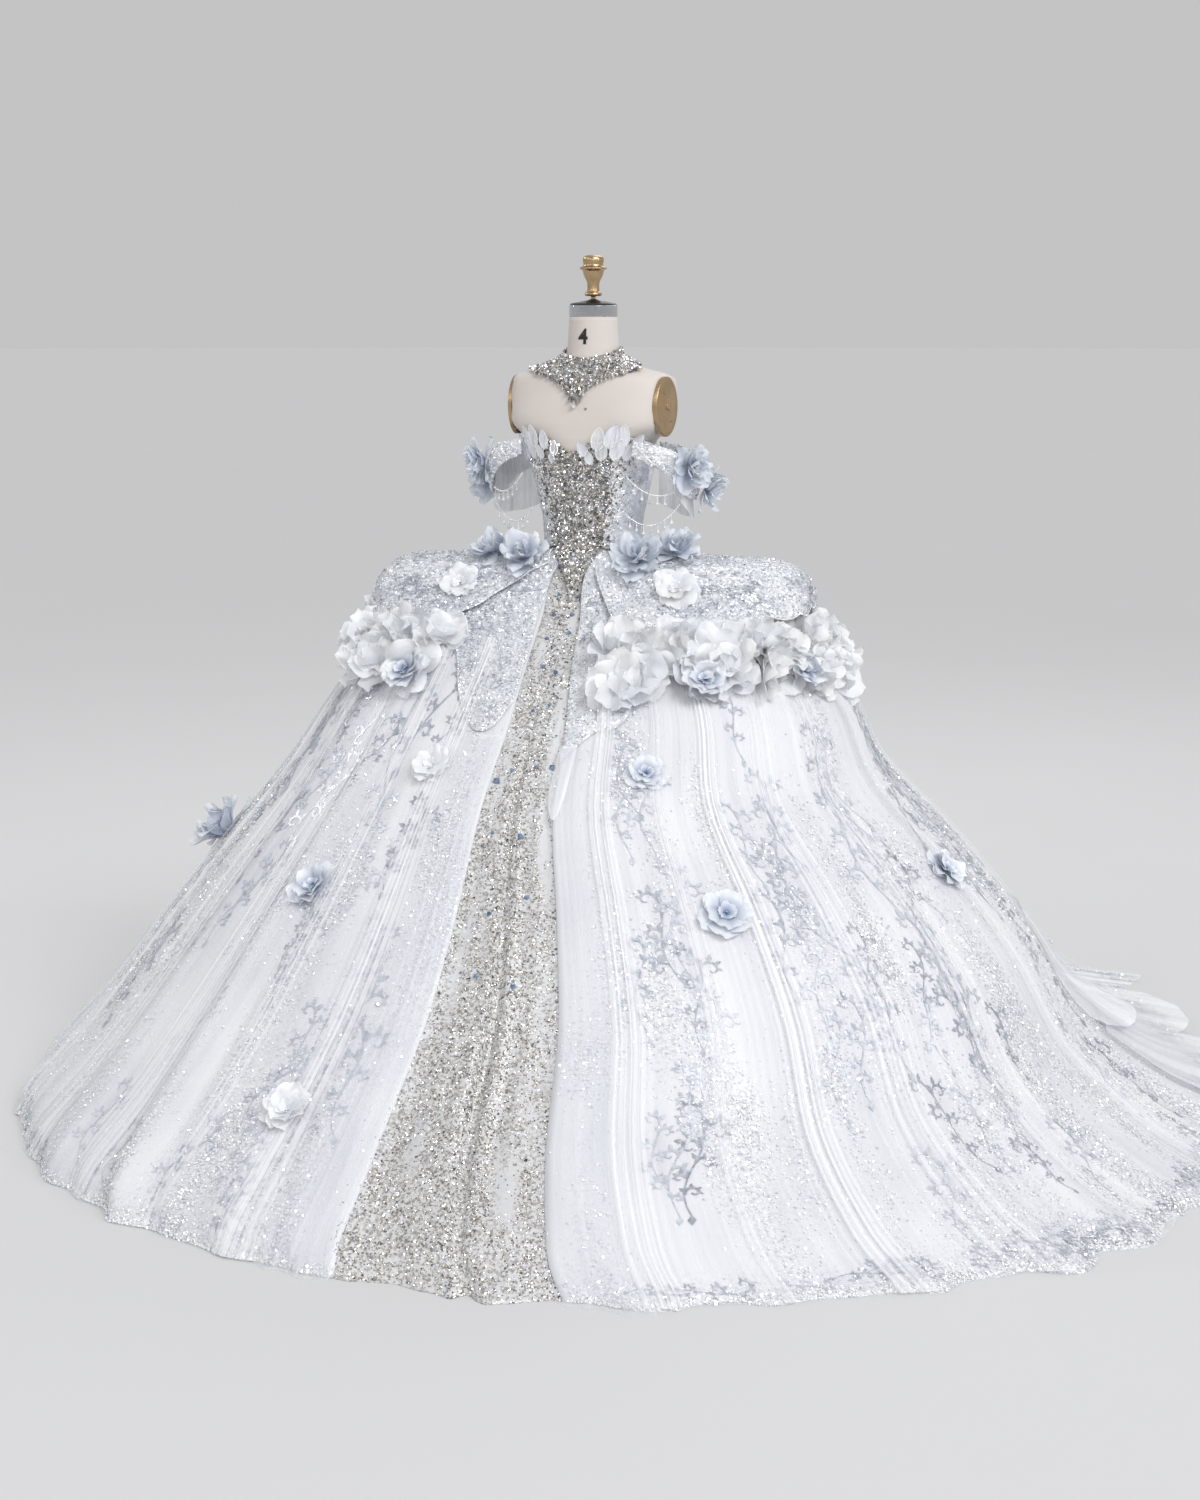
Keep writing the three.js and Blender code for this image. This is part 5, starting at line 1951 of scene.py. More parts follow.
        half = self.placket_half - self.seam_gap
        patch = self.panel(level(180 - half), level(180 + half), level(self.waist), top)
        cloth = patch.cloth("placket_cloth", 6, 30, wall=self.wall)
        dress(cloth, self.finishes.lace, "lace", "back_placket")
        v = np.linspace(0.06, 0.95, 15)
        u = np.full_like(v, 0.5)
        sizes = np.full_like(v, 3.6 * MM)
        buttons = turned_copies(bead(), patch.at(u, v, 1.2 * MM), patch.normals(u, v), DOWN, sizes)
        sewn("placket_buttons", bead(), buttons, self.rng, self.finishes.pale_vine, "lace")

    def leaves(self, side: Side) -> None:
        """Two rows of corded organza leaves that stand above the cup.

        Args:
            side: Its side.
        """
        rows = [(angle, height + 26, -24, 11.4) for angle, height in LEAVES[side]]
        rows += [(angle + 4, height + 20, -46, 9.2) for angle, height in LEAVES[side]]
        order = np.arange(len(rows)).reshape(2, -1).T.ravel()
        angle, size, rise, lift = np.array(rows, float)[order].T
        place = side.value * angle, FORM.row_at(self.neckline(angle) + rise * MM)
        normals = FORM.normal(*place)
        splay = side.value * (0.25 + (angle - np.mean(angle)) / 45) + self.rng.normal(0, 0.12, len(angle))
        along = UP + np.cross(UP, normals) * splay[:, None] + normals * 0.10
        setting = FORM.out(*place, lift * MM), normals, along, np.stack([size * 1.3, size, size], 1) * MM
        tints = self.rng.random(len(angle))
        points = turned_copies(pointed_leaf(), *setting)
        blades = joined(f"leaf_organza_{side.word}", pointed_leaf(), points, tints)
        add_values(blades.data, "veil", np.full(len(blades.data.vertices), 0.9))
        add_map(blades.data, points.reshape(-1, 3)[:, [0, 2]])
        dress(blades, self.finishes.leaf, "organza", f"neckline_leaves_{side.word}")
        points = turned_copies(leaf_beads(), *setting)
        beads = joined(f"leaf_beads_{side.word}", leaf_beads(), points, tints)
        dress(beads, self.finishes.silver, "crystal")


# ---------------------------------------------------------------- sleeves

# Edges of the sleeve band and its drape: share round the loop from the front, height in mm.
BAND_TOP = ((0, 1368), (0.2, 1356), (0.42, 1330), (0.6, 1330), (0.8, 1350), (1, 1358))
BAND_BOTTOM = ((0, 1336), (0.2, 1305), (0.42, 1250), (0.6, 1246), (0.8, 1290), (1, 1320))
DRAPE_TOP = ((0.3, 1322), (0.45, 1316), (0.65, 1318), (0.85, 1326), (1, 1332))
DRAPE_BOTTOM = ((0.3, 1262), (0.45, 1214), (0.65, 1204), (0.85, 1212), (1, 1232))


@dataclass(frozen=True)
class StrandPlan:
    """A hanging bead strand: ends in mm on the left sleeve, sag and places of the drops."""

    name: str
    start: Triple
    end: Triple
    sag: float
    drops: tuple[float, ...]


STRANDS = (
    StrandPlan("upper", (-118, -106, 1296), (-205, -58, 1262), 20, (0.18, 0.34, 0.5, 0.66, 0.82)),
    StrandPlan("lower", (-104, -86, 1222), (-212, -42, 1236), 36, (0.12, 0.24, 0.36, 0.5, 0.62, 0.74, 0.86)),
)


@dataclass
class Sleeves:
    """Off-the-shoulder bands with sheer drapes and bead strands; sizes in metres."""

    finishes: Finishes
    thread_width: float = 1.2 * MM
    centre: float = 0.126
    reach: float = 0.104
    front: float = 0.092
    back: float = 0.066
    drop_step: float = 3.4 * MM
    drop_fall: float = 11.5 * MM
    rng: Rng = field(default_factory=lambda: np.random.default_rng(SEED + 2))

    def build(self) -> None:
        """Builds both sleeves."""
        for side in Side:
            self.band(side)
            self.drape(side)
            for plan in STRANDS:
                self.strand(side, plan)

    def point(self, side: Side, along: Array, z: Array, inset: Array) -> Array:
        """Point of the sleeve loop.

        Args:
            side: Its side.
            along: Share round the loop, from the front over the arm to the back.
            z: Height in metres.
            inset: How far it is moved towards the arm, in metres.

        Returns:
            Array of points.
        """
        turn = np.pi * along
        depth = np.where(np.cos(turn) > 0, self.front, self.back)
        direction = unit(np.stack([np.sin(turn) / self.reach, -np.cos(turn) / depth], -1))
        x = self.centre + self.reach * np.sin(turn) - inset * direction[..., 0]
        y = -depth * np.cos(turn) - inset * direction[..., 1]
        return turned(np.stack([side.value * x, y, z], -1), FIGURE_TURN)

    def loop_patch(self, side: Side, start: float, top: Pairs, bottom: Pairs, inset: Field) -> Patch:
        """Patch round the sleeve loop to the back.

        Args:
            side: Its side.
            start: Share round the loop at which it starts.
            top: Upper edge, heights by share.
            bottom: Lower edge, heights by share.
            inset: How far it is moved towards the arm in mm, by share round the loop and down.

        Returns:
            The patch.
        """

        def place(u: Array, v: Array) -> Array:
            """Point at u and v.

            Args:
                u: Place across.
                v: Place down.

            Returns:
                Array of points.
            """
            along = start + (1 - start) * side.share(u)
            z = (look_up(top, along) * (1 - v) + look_up(bottom, along) * v) * MM
            return self.point(side, along, z, inset(along, v) * MM)

        return Patch(place)

    def band(self, side: Side) -> None:
        """Stiff beaded band.

        Args:
            side: Its side.
        """

        def bulge(along: Array, v: Array) -> Array:
            """Rounded outwards over the arm, in mm."""
            return -9 * np.sin(np.pi * v) * np.sin(np.pi * along)

        patch = self.loop_patch(side, 0.0, BAND_TOP, BAND_BOTTOM, bulge)
        piece = patch.cloth(f"sleeve_cloth_{side.word}", 44, 12, wall=2.0 * MM)
        dress(piece, self.finishes.sequined, "crystal", f"sleeve_band_{side.word}")
        name, spots = f"sleeve_stones_{side.word}", patch.sample(900, self.rng)
        scattered(name, patch, round_stone(), spots, (1.5, 3.4), self.rng, self.finishes.silver)

    def drape(self, side: Side) -> None:
        """Sheer organza drape inside the band.

        Args:
            side: Its side.
        """

        def folds(along: Array, v: Array) -> Array:
            """Gathered towards the arm, in mm."""
            return 6.2 + v * (3 * np.sin(along * 41) + 9 * np.sin(np.pi * along) * (1 - v))

        patch = self.loop_patch(side, 0.3, DRAPE_TOP, DRAPE_BOTTOM, folds)
        name = f"sleeve_organza_{side.word}"
        piece = patch.cloth(name, 60, 18, values={"veil": lambda u, v: 0.55 + 0.3 * v})
        dress(piece, self.finishes.drape, "tulle", f"sleeve_drape_{side.word}")

    def thread(self, name: str, line: Array) -> None:
        """Silver thread through a bead strand, sewn on at both ends.

        Args:
            name: Name of the piece.
            line: Points along it.
        """
        curve = bpy.data.curves.new(name, "CURVE")
        curve.dimensions = "3D"
        curve.bevel_depth = self.thread_width / 2
        curve.bevel_resolution = 1
        path = curve.splines.new("POLY")
        path.points.add(len(line) - 1)
        path.points.foreach_set("co", np.column_stack([line, np.ones(len(line))]).ravel())
        curve.materials.append(self.finishes.silver)
        piece = linked(name, curve)
        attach(piece, ROOT)

    def strand(self, side: Side, plan: StrandPlan) -> None:
        """Strand of beads with cut drops.

        Args:
            side: Its side.
            plan: Its ends, sag and drops.
        """
        rng, silver, tail = self.rng, self.finishes.silver, f"{side.word}_{plan.name}"
        mirror = np.array([-side.value, 1, 1]) * MM
        start, end = (np.array(point) * mirror for point in (plan.start, plan.end))
        t = np.linspace(0, 1, 34)
        line = start + (end - start) * t[:, None]
        line[:, 2] -= plan.sag * MM * 4 * t * (1 - t)
        line = turned(line, FIGURE_TURN)
        self.thread(f"strand_thread_{tail}", line)
        along = rng.normal(0, 1, line.shape)
        beads = turned_copies(bead(), line, UP, along, (1.6 + 0.5 * rng.random(len(line))) * MM)
        sewn(f"bead_strand_{tail}", bead(), beads, rng, silver, "crystal", f"bead_swag_{tail}")
        drops = np.array(plan.drops)
        tops = np.stack([np.interp(drops, t, line[:, axis]) for axis in range(3)], 1)
        points = (tops[:, None] + self.drop_step * np.arange(4)[:, None] * DOWN).reshape(-1, 3)
        along = rng.normal(0, 1, points.shape)
        small = turned_copies(bead(), points, UP, along, np.full(len(points), 1.4 * MM))
        sewn(f"drop_threads_{tail}", bead(), small, rng, silver, "crystal")
        facing, sizes = np.array([side.value * 0.4, -1, 0.0]), rng.uniform(8, 12, len(drops)) * MM
        hung = turned_copies(drop(), tops + self.drop_fall * DOWN, facing, DOWN, sizes)
        sewn(f"cut_drops_{tail}", drop(), hung, rng, silver, "crystal")


# ---------------------------------------------------------------- skirt

# Where the tulle layer is drawn together: ring angle, half width in degrees and density.
VEIL_BANDS = (
    (-18, 4, 0.75), (-29, 3.5, 0.55), (-40, 6, 0.62), (-53, 6, 0.7), (-67, 6, 0.6), (-84, 8, 0.55),
    (-106, 9, 0.5), (-130, 9, 0.5), (14, 2.8, 0.9), (24, 2.5, 0.4), (34, 3.4, 0.7), (46, 4.5, 0.5),
    (61, 5, 0.45), (80, 6, 0.5), (103, 8, 0.5), (128, 9, 0.5), (157, 7, 0.5), (180, 8, 0.55), (203, 7, 0.5),
)
VEIL_TOP, VEIL_END = 4.6, 11.9

# Bare places of the front panel: u, v, half width and half length.
PANEL_GAPS = (
    (0.72, 0.50, 0.10, 0.07),
    (0.78, 0.62, 0.08, 0.06),
    (0.28, 0.55, 0.07, 0.05),
    (0.25, 0.70, 0.06, 0.08),
    (0.71, 0.86, 0.08, 0.05),
    (0.30, 0.84, 0.05, 0.04),
    (0.32, 0.40, 0.09, 0.05),
    (0.66, 0.33, 0.08, 0.05),
)


def moved(table: Pairs, start: float, growth: float = 0.0) -> Pairs:
    """An edge moved sideways by degrees that grow with each row."""
    return tuple((row, angle + start + growth * row) for row, angle in table)


@dataclass(frozen=True)
class Flap:
    """Loose rounded tulle flap: middle and half angle, rows, roundness, stand-off in mm and flat cut, which
    nothing here uses.
    """

    angle: float
    half: float
    high: float
    low: float
    dip: float
    stand: float
    flat: tuple[float, float]

    def rim(self, u: Array) -> Array:
        """Row of the rounded lower edge."""
        return self.low - self.dip * (1 - np.sin(np.pi * u) ** 0.5)

    def relief(self, angle: Array, row: Array, u: Array, v: Array) -> Array:
        """Lift off the skirt."""
        return (13 + self.stand * v * np.sin(np.pi * u) ** 0.6) * MM

    def patch(self) -> Patch:
        """The flap as a patch."""
        return skirt_patch(self.angle - self.half, self.angle + self.half, self.high, self.rim, self.relief)


FLAPS = (
    Flap(108, 9, 9.0, 10.8, 0.6, 34, (0.42, 0.30)),
    Flap(104, 8, 10.4, 11.9, 0.5, 30, (0.43, 0.34)),
    Flap(117, 8, 10.2, 11.7, 0.5, 24, (0.43, 0.30)),
    Flap(6.4, 1.6, 6.3, 7.15, 0.5, 6, (0.045, 0.135)),
)


@dataclass(frozen=True)
class Gores:
    """Part of the overskirt: edges, edges and angles of its tulle layer, counts, and flat cuts in metres,
    which nothing here uses.
    """

    word: str
    cloth: str
    sewn_on: str
    low: Union[Pairs, float]
    high: Union[Pairs, float]
    veil_low: Union[Pairs, float]
    veil_high: Union[Pairs, float]
    veil_angles: tuple[float, float]
    columns: tuple[int, int]
    clusters: int
    hem_sequins: int
    vines: int
    flat: tuple[float, float]
    area: float
    veil_flat: tuple[float, float]
    veil_area: float


BACK_EDGES = (BACK_SEAM + 0.1, 360 - BACK_SEAM - 0.1)
LEFT_GORES = Gores(
    word="left",
    cloth="overskirt_cloth_left",
    sewn_on="skirt_{}_left",
    low=-BACK_SEAM,
    high=LEFT_EDGE,
    veil_low=-BACK_SEAM,
    veil_high=moved(LEFT_EDGE, -1),
    veil_angles=(-BACK_SEAM, -9.0),
    columns=(165, 420),
    clusters=95,
    hem_sequins=4200,
    vines=85,
    flat=(3.2, 1.65),
    area=2.85,
    veil_flat=(3.4, 1.3),
    veil_area=2.75,
)
RIGHT_GORES = Gores(
    word="right",
    cloth="overskirt_cloth_right",
    sewn_on="skirt_{}_right",
    low=RIGHT_EDGE,
    high=BACK_SEAM,
    veil_low=moved(RIGHT_EDGE, 1),
    veil_high=BACK_SEAM,
    veil_angles=(7.0, BACK_SEAM),
    columns=(165, 420),
    clusters=95,
    hem_sequins=4200,
    vines=85,
    flat=(3.6, 1.65),
    area=3.35,
    veil_flat=(3.9, 1.35),
    veil_area=3.25,
)
TRAIN_GORES = Gores(
    word="train",
    cloth="train_cloth",
    sewn_on="train_{}",
    low=BACK_EDGES[0],
    high=BACK_EDGES[1],
    veil_low=BACK_EDGES[0],
    veil_high=BACK_EDGES[1],
    veil_angles=BACK_EDGES,
    columns=(84, 190),
    clusters=46,
    hem_sequins=2000,
    vines=46,
    flat=(2.3, 1.95),
    area=1.95,
    veil_flat=(2.5, 1.6),
    veil_area=1.9,
)


@dataclass(frozen=True)
class Clusters:
    """Random patches of sequins on one cloth: middles in u and v, sizes in metres and strengths."""

    u: Array
    v: Array
    width: Array
    length: Array
    strength: Array

    @classmethod
    def random(cls, count: int, rng: Rng) -> "Clusters":
        """Patches that lie thicker towards the hem.

        Args:
            count: How many.
            rng: The seeded generator.

        Returns:
            The patches.
        """
        v = 0.50 + 0.48 * rng.random(count) ** 0.75
        limits = ((0.01, 0.99), (0.016, 0.038), (0.05, 0.15), (0.5, 1.0))
        u, width, length, strength = (rng.uniform(low, high, count) for low, high in limits)
        return cls(u, v, width, length, strength)

    def glitter(self, patch: Patch) -> Field:
        """Density of the sequin haze.

        Args:
            patch: The cloth.

        Returns:
            The density as a function of u and v.
        """
        across, down = (np.linalg.norm(slope, axis=1) for slope in patch.slopes(self.u, self.v))

        def density(u: Array, v: Array) -> Array:
            """Density at u and v.

            Args:
                u: Place across.
                v: Place down.

            Returns:
                Density from 0 to 1.
            """
            total = 0.85 * ramp(v, 0.93, 0.98)
            for k, strength in enumerate(self.strength):
                x = (u - self.u[k]) * across[k] / self.width[k]
                y = (v - self.v[k]) * down[k] / self.length[k]
                total = total + strength * np.exp(-0.5 * (x * x + y * y))
            return np.clip(total, 0, 1)

        return density


@dataclass
class Skirt:
    """Beaded front panel, open overskirt with its train, tulle layer, vines and sequins."""

    finishes: Finishes
    wall: float = 1.6 * MM
    border_scrolls: int = 34
    sequins_per_cluster: int = 240
    sprays_per_vine: int = 4
    panel_stones: int = 17500
    tuck: float = 3.2
    rng: Rng = field(default_factory=lambda: np.random.default_rng(SEED + 3))

    def build(self) -> None:
        """Builds the whole skirt."""
        self.front_panel()
        self.overskirt(LEFT_GORES)
        self.tulle_band(Side.LEFT, LEFT_EDGE, 0.62)
        self.overskirt(RIGHT_GORES)
        self.tulle_band(Side.RIGHT, RIGHT_EDGE, 0.3)
        self.overskirt(TRAIN_GORES)
        for index, flap in enumerate(FLAPS):
            values = {"veil": lambda u, v: 0.35 + 0.5 * v**2}
            piece = flap.patch().cloth(f"tulle_edge_{index + 1}", 30, 18, values=values)
            dress(piece, self.finishes.flap, "tulle")

    def overskirt(self, plan: Gores) -> None:
        """Part of the overskirt with its sequins and vines, and the tulle layer above.

        Args:
            plan: The part.
        """
        patch, clusters = skirt_patch(plan.low, plan.high), Clusters.random(plan.clusters, self.rng)
        glitter = {"glitter": clusters.glitter(patch)}
        piece = patch.cloth(plan.cloth, plan.columns[0], 60, wall=self.wall, values=glitter)
        dress(piece, self.finishes.overskirt, "tulle", f"overskirt_{plan.word}")
        self.sequins(plan.sewn_on.format("sequins"), patch, clusters, plan.hem_sequins)
        self.vines(plan.sewn_on.format("vines"), patch, plan.vines)
        self.veil(plan)

    def sequins(self, name: str, patch: Patch, clusters: Clusters, hem: int) -> None:
        """Sequins of all clusters and of the hem border.

        Args:
            name: Name of the piece.
            patch: The cloth.
            clusters: Patches of sequins.
            hem: Number of sequins in the border.
        """
        each, rng = self.sequins_per_cluster, self.rng
        middle_u, middle_v, width, length = (
            np.repeat(part, each) for part in (clusters.u, clusters.v, clusters.width, clusters.length)
        )
        x = rng.normal(0, 1, len(width)) * width
        y = rng.normal(0, 1, len(width)) * length
        u, v = patch.walk(middle_u, middle_v, x, y)
        border = np.clip(1 - np.abs(rng.normal(0, 0.016, hem)), 0, 1)
        u, v = np.append(u, rng.random(hem)), np.append(v, border)
        inside = (u > 0.003) & (u < 0.997) & (v > 0.3) & (v < 0.9985)
        spots, silver = (u[inside], v[inside]), self.finishes.silver
        scattered(name, patch, sequin(), spots, (1.9, 3.3), rng, silver, "sequin", lift=2.4, tilt=0.4)

    def vines(self, name: str, patch: Patch, count: int) -> None:
        """Embroidered sprays down the cloth and scrolls along its hem.

        Args:
            name: Start of the names of both pieces.
            patch: The cloth.
            count: Number of sprays of each kind before some are left out.
        """
        rng, each, lift = self.rng, self.sprays_per_vine, 1.3 * MM
        columns = count // each
        for index, (seed, thread) in enumerate(((11, self.finishes.vine), (23, self.finishes.pale_vine))):
            template = scroll_spray(seed)
            column = np.repeat(rng.uniform(0.015, 0.985, columns), each)
            step = np.tile(np.arange(each), columns)
            start = np.repeat(0.38 + 0.42 * rng.random(columns) ** 1.6, each)
            kept = rng.random(len(step)) < 0.6
            u = (column + rng.normal(0, 0.006, len(step)))[kept]
            v = (start + 0.10 * step + rng.normal(0, 0.012, len(step)))[kept]
            sizes, turns = rng.uniform(0.15, 0.26, len(u)), rng.normal(0, 0.22, len(u))
            sprays = wrapped(patch, template, (u, v), sizes, turns, lift)
            scrolls = self.border_scrolls
            u = np.linspace(0.02, 0.96, scrolls) + rng.uniform(-0.01, 0.01, scrolls)
            v, turns = rng.uniform(0.955, 0.98, scrolls), rng.choice([-1.45, 1.5, -1.2], scrolls)
            hem = wrapped(patch, template, (u, v), rng.uniform(0.10, 0.17, scrolls), turns, lift)
            places = np.concatenate([sprays, hem])
            sewn(f"{name}_{index + 1}", template, places, rng, thread, "sequin")

    @staticmethod
    def veil_density(angle: Array, row: Array) -> Array:
        """How dense the tulle layer is.

        Args:
            angle: Ring angles in degrees.
            row: Skirt rows.

        Returns:
            Density from 0 to 1.
        """
        total = np.full(np.broadcast(angle, row).shape, 0.12)
        for middle, half, density in VEIL_BANDS:
            total = total + density * hump(round_gap(angle, middle) / (half * (0.7 + 0.05 * row)))
        return np.clip(total * (0.62 + 0.38 * np.clip((HEM_ROW - row) / 7, 0, 1)), 0, 1)

    @staticmethod
    def pleats(angle: Array, row: Array, u: Array, v: Array) -> Array:
        """Lift of the tulle layer with its fine radiating pleats.

        Args:
            angle: Ring angles in degrees.
            row: Skirt rows.
            u: Place across; not used.
            v: Place down; not used.

        Returns:
            Lift in metres.
        """
        wave = ridges(angle * 1.7 + 0.9 * np.sin(angle * 0.33) + 0.05 * row)
        slow = np.sin(angle * 0.83 + 0.7 * np.sin(row * 0.5))
        depth = (2.3 - 0.7 * np.sin(np.radians(angle))) * Skirt.veil_density(angle, row) ** 1.5
        return (9.5 + depth * wave + 2.2 * slow) * MM

    def veil(self, plan: Gores) -> None:
        """Sheer tulle layer over one part of the overskirt.

        Args:
            plan: The part.
        """

        def density(u: Array, v: Array) -> Array:
            """Density at u and v."""
            low, high = plan.veil_angles
            return self.veil_density(low + (high - low) * u, VEIL_TOP + (VEIL_END - VEIL_TOP) * v)

        patch = skirt_patch(plan.veil_low, plan.veil_high, VEIL_TOP, VEIL_END, self.pleats)
        piece = patch.cloth(f"tulle_layer_{plan.word}", plan.columns[1], 34, values={"veil": density})
        dress(piece, self.finishes.veil, "tulle")

    @staticmethod
    def panel_relief(angle: Array, row: Array, u: Array, v: Array) -> Array:
        """Relief of the front panel: one deep crease and soft ripples.

        Args:
            angle: Ring angles in degrees; not used.
            row: Skirt rows.
            u: Place across.
            v: Place down.

        Returns:
            Lift in metres.
        """
        off = u - 0.44 - 0.28 * np.clip(v - 0.5, 0, 1)
        crease = -15 * hump(off / 0.045) + 7 * hump((off - 0.07) / 0.05) + 5 * hump((off + 0.06) / 0.05)
        ripple = 4 * np.sin(u * 21 + 1.4 * np.sin(v * 5)) + 2 * np.sin(u * 43 + 3 * v)
        return (-2.6 + (crease + ripple) * ramp(row, 4, 10) * hump((u - 0.5) * 1.9)) * MM

    @staticmethod
    def bead_haze(u: Array, v: Array) -> Array:
        """Density of the beading on the front panel.

        Args:
            u: Place across.
            v: Place down.

        Returns:
            Density from 0 to 1.
        """
        bare = 0
        ragged = 0.8 + 0.6 * np.sin(u * 60 + 9 * np.sin(v * 24)) * np.sin(v * 46 + 5 * np.sin(u * 30))
        for middle_u, middle_v, wide, long in PANEL_GAPS:
            bare = np.maximum(bare, hump((u - middle_u) / wide) * hump((v - middle_v) / long) * ragged)
        ends = ramp(v, 0.35, 0.75) + ramp(-v, -0.3, -0.1)
        spine = 0.35 * hump((u - 0.46) / 0.42) - 0.12
        patchy = 0.55 * (shimmer(u * 2.2, v * 4) - 0.5)
        return np.clip(0.62 + 0.22 * ends + spine + patchy - 1.1 * bare, 0.05, 1)

    def front_panel(self) -> None:
        """Front panel cloth, tucked under both overskirt edges, with its stones."""
        low, high = moved(LEFT_EDGE, -self.tuck), moved(RIGHT_EDGE, self.tuck)
        patch = skirt_patch(low, high, relief=self.panel_relief)
        rng, stones = self.rng, self.finishes.champagne
        cloth = patch.cloth("panel_cloth", 54, 110, wall=self.wall, values={"glitter": self.bead_haze})
        dress(cloth, self.finishes.panel, "crystal", "skirt_front_panel")

        u, v = patch.sample(self.panel_stones, rng, self.bead_haze)
        large = self.panel_stones // 7
        spots = u[:large], v[:large]
        scattered("panel_stones", patch, round_stone(), spots, (1.6, 3.2), rng, stones, lift=0.2)
        spots = u[large:], v[large:]
        scattered("panel_beads", patch, pointed_stone(), spots, (1.2, 2.6), rng, stones, lift=0.2, tilt=0.35)
        v = np.append([0.545, 0.545], np.tile(np.linspace(0.25, 0.72, 9), 2)) + rng.normal(0, 0.006, 20)
        u = np.append([0.24, 0.76], np.repeat([0.38, 0.60], 9)) + rng.normal(0, 0.03, 20)
        sizes = np.append([8, 8], rng.uniform(4, 6.5, 18)) * MM
        east = np.array([1.0, 0, 0])
        places = turned_copies(round_stone(), patch.at(u, v, 1.0 * MM), patch.normals(u, v), east, sizes)
        sewn("panel_jewels", round_stone(), places, rng, self.finishes.blue, "crystal")

    @staticmethod
    def fall_relief(angle: Array, row: Array, u: Array, v: Array) -> Array:
        """Lift of the loose tulle along a front edge."""
        folds = 3 * np.sin(u * 11 + 0.8 * np.sin(v * 4)) + 1.2 * np.sin(u * 27 + 1)
        return (11 + 5 * v * np.sin(np.pi * u) + folds * (0.3 + 0.7 * v)) * MM

    def tulle_band(self, side: Side, edge: Pairs, most: float) -> None:
        """Loose bluish tulle along a front edge of the overskirt.

        Args:
            side: Its side.
            edge: The front edge.
            most: Density of the tulle.
        """

        def hems(u: Array, v: Array) -> Array:
            """Density, highest in the folds and hems."""
            return most * (0.45 + 0.4 * np.abs(np.sin(u * 8.5)) + 0.3 * (np.abs(u - 0.5) > 0.47))

        edges = side.across(edge, moved(edge, side.value * 2.2, side.value * 0.42))
        patch = skirt_patch(*edges, 6.2, 12.0, self.fall_relief)
        piece = patch.cloth(f"tulle_fall_{side.word}", 60, 60, values={"veil": hems})
        dress(piece, self.finishes.band, "tulle", f"tulle_band_{side.word}")


# ---------------------------------------------------------------- peplum and hip ruffles


@dataclass(frozen=True)
class PeplumKind:
    """Outer or inner piece: scallops, lift in mm at the top and lower down, grid and counts."""

    scallops: int
    lift: tuple[float, float]
    grid: tuple[int, int]
    sprays: int
    sequins: int
    trim: int


OUTER = PeplumKind(12, (6.8, 15), (128, 24), 70, 4200, 620)
INNER = PeplumKind(0, (4.4, 5.4), (40, 46), 14, 1500, 150)


@dataclass(frozen=True)
class PeplumPlan:
    """Peplum piece: front edge by row, hem row by angle, flat cut in metres and its area, which nothing here
    uses.
    """

    side: Side
    part: str
    kind: PeplumKind
    edge: Pairs
    hem: Pairs
    flat: tuple[float, float]
    area: float
    top: float = 0.14

    @property
    def key(self) -> str:
        """Its name in the nodes."""
        return f"{self.side.word}_{self.part}"

    def point(self, u: Array, v: Array) -> Array:
        """Point of the piece.

        Args:
            u: Place across.
            v: Place down.

        Returns:
            Array of points.
        """
        across, far = self.side.share(u), self.hem[-1][0]
        bottom = look_up(self.hem, self.hem[0][0] * (1 - across) + far * across)
        if self.kind.scallops:
            bottom = bottom + 0.16 * np.abs(np.sin(np.pi * self.kind.scallops * across)) ** 0.7
        row = self.top + (bottom - self.top) * v**0.85
        angle = self.side.value * (look_up(self.edge, row) * (1 - across) + far * across)
        first, last = self.kind.lift
        lift = first + (last - first) * np.clip(row / 2, 0, 1)
        if self.kind.scallops:
            lift = lift + 6 * v**3 + 20 * hump((row - 2.5) / 1.7) * hump((np.abs(angle) - 90) / 55)
        return skirt_out(angle, row, lift * MM)


PEPLUM = (
    PeplumPlan(
        Side.LEFT,
        "outer",
        OUTER,
        edge=((0, 36), (1, 17), (2, 16), (4.2, 27)),
        hem=((27, 3.7), (36, 4.3), (46, 4.2), (90, 3.7), (140, 4), (172, 4.3)),
        flat=(1.1, 0.42),
        area=0.21,
    ),
    PeplumPlan(
        Side.RIGHT,
        "outer",
        OUTER,
        edge=((0, 22), (1, 8.5), (2.5, 5.5), (3.6, 8.5), (4.4, 12.5)),
        hem=((12.5, 4.4), (25, 4.2), (40, 4.05), (90, 3.6), (140, 4), (172, 4.3)),
        flat=(1.2, 0.42),
        area=0.22,
    ),
    PeplumPlan(
        Side.LEFT,
        "inner",
        INNER,
        edge=((0, 18), (1, 12), (4.4, 9.5), (6.2, 8)),
        hem=((8, 5.7), (10, 6), (13, 6.13), (17, 6), (22, 5.6), (29, 4.7)),
        flat=(0.26, 0.55),
        area=0.07,
    ),
    PeplumPlan(
        Side.RIGHT,
        "inner",
        INNER,
        edge=((0, 12), (1, 5), (4.8, 3), (6.5, 5.3)),
        hem=((5.3, 6.46), (7.5, 6.3), (11, 6.1), (17, 5.92), (20, 5.5), (28, 4.8)),
        flat=(0.3, 0.6),
        area=0.09,
    ),
)


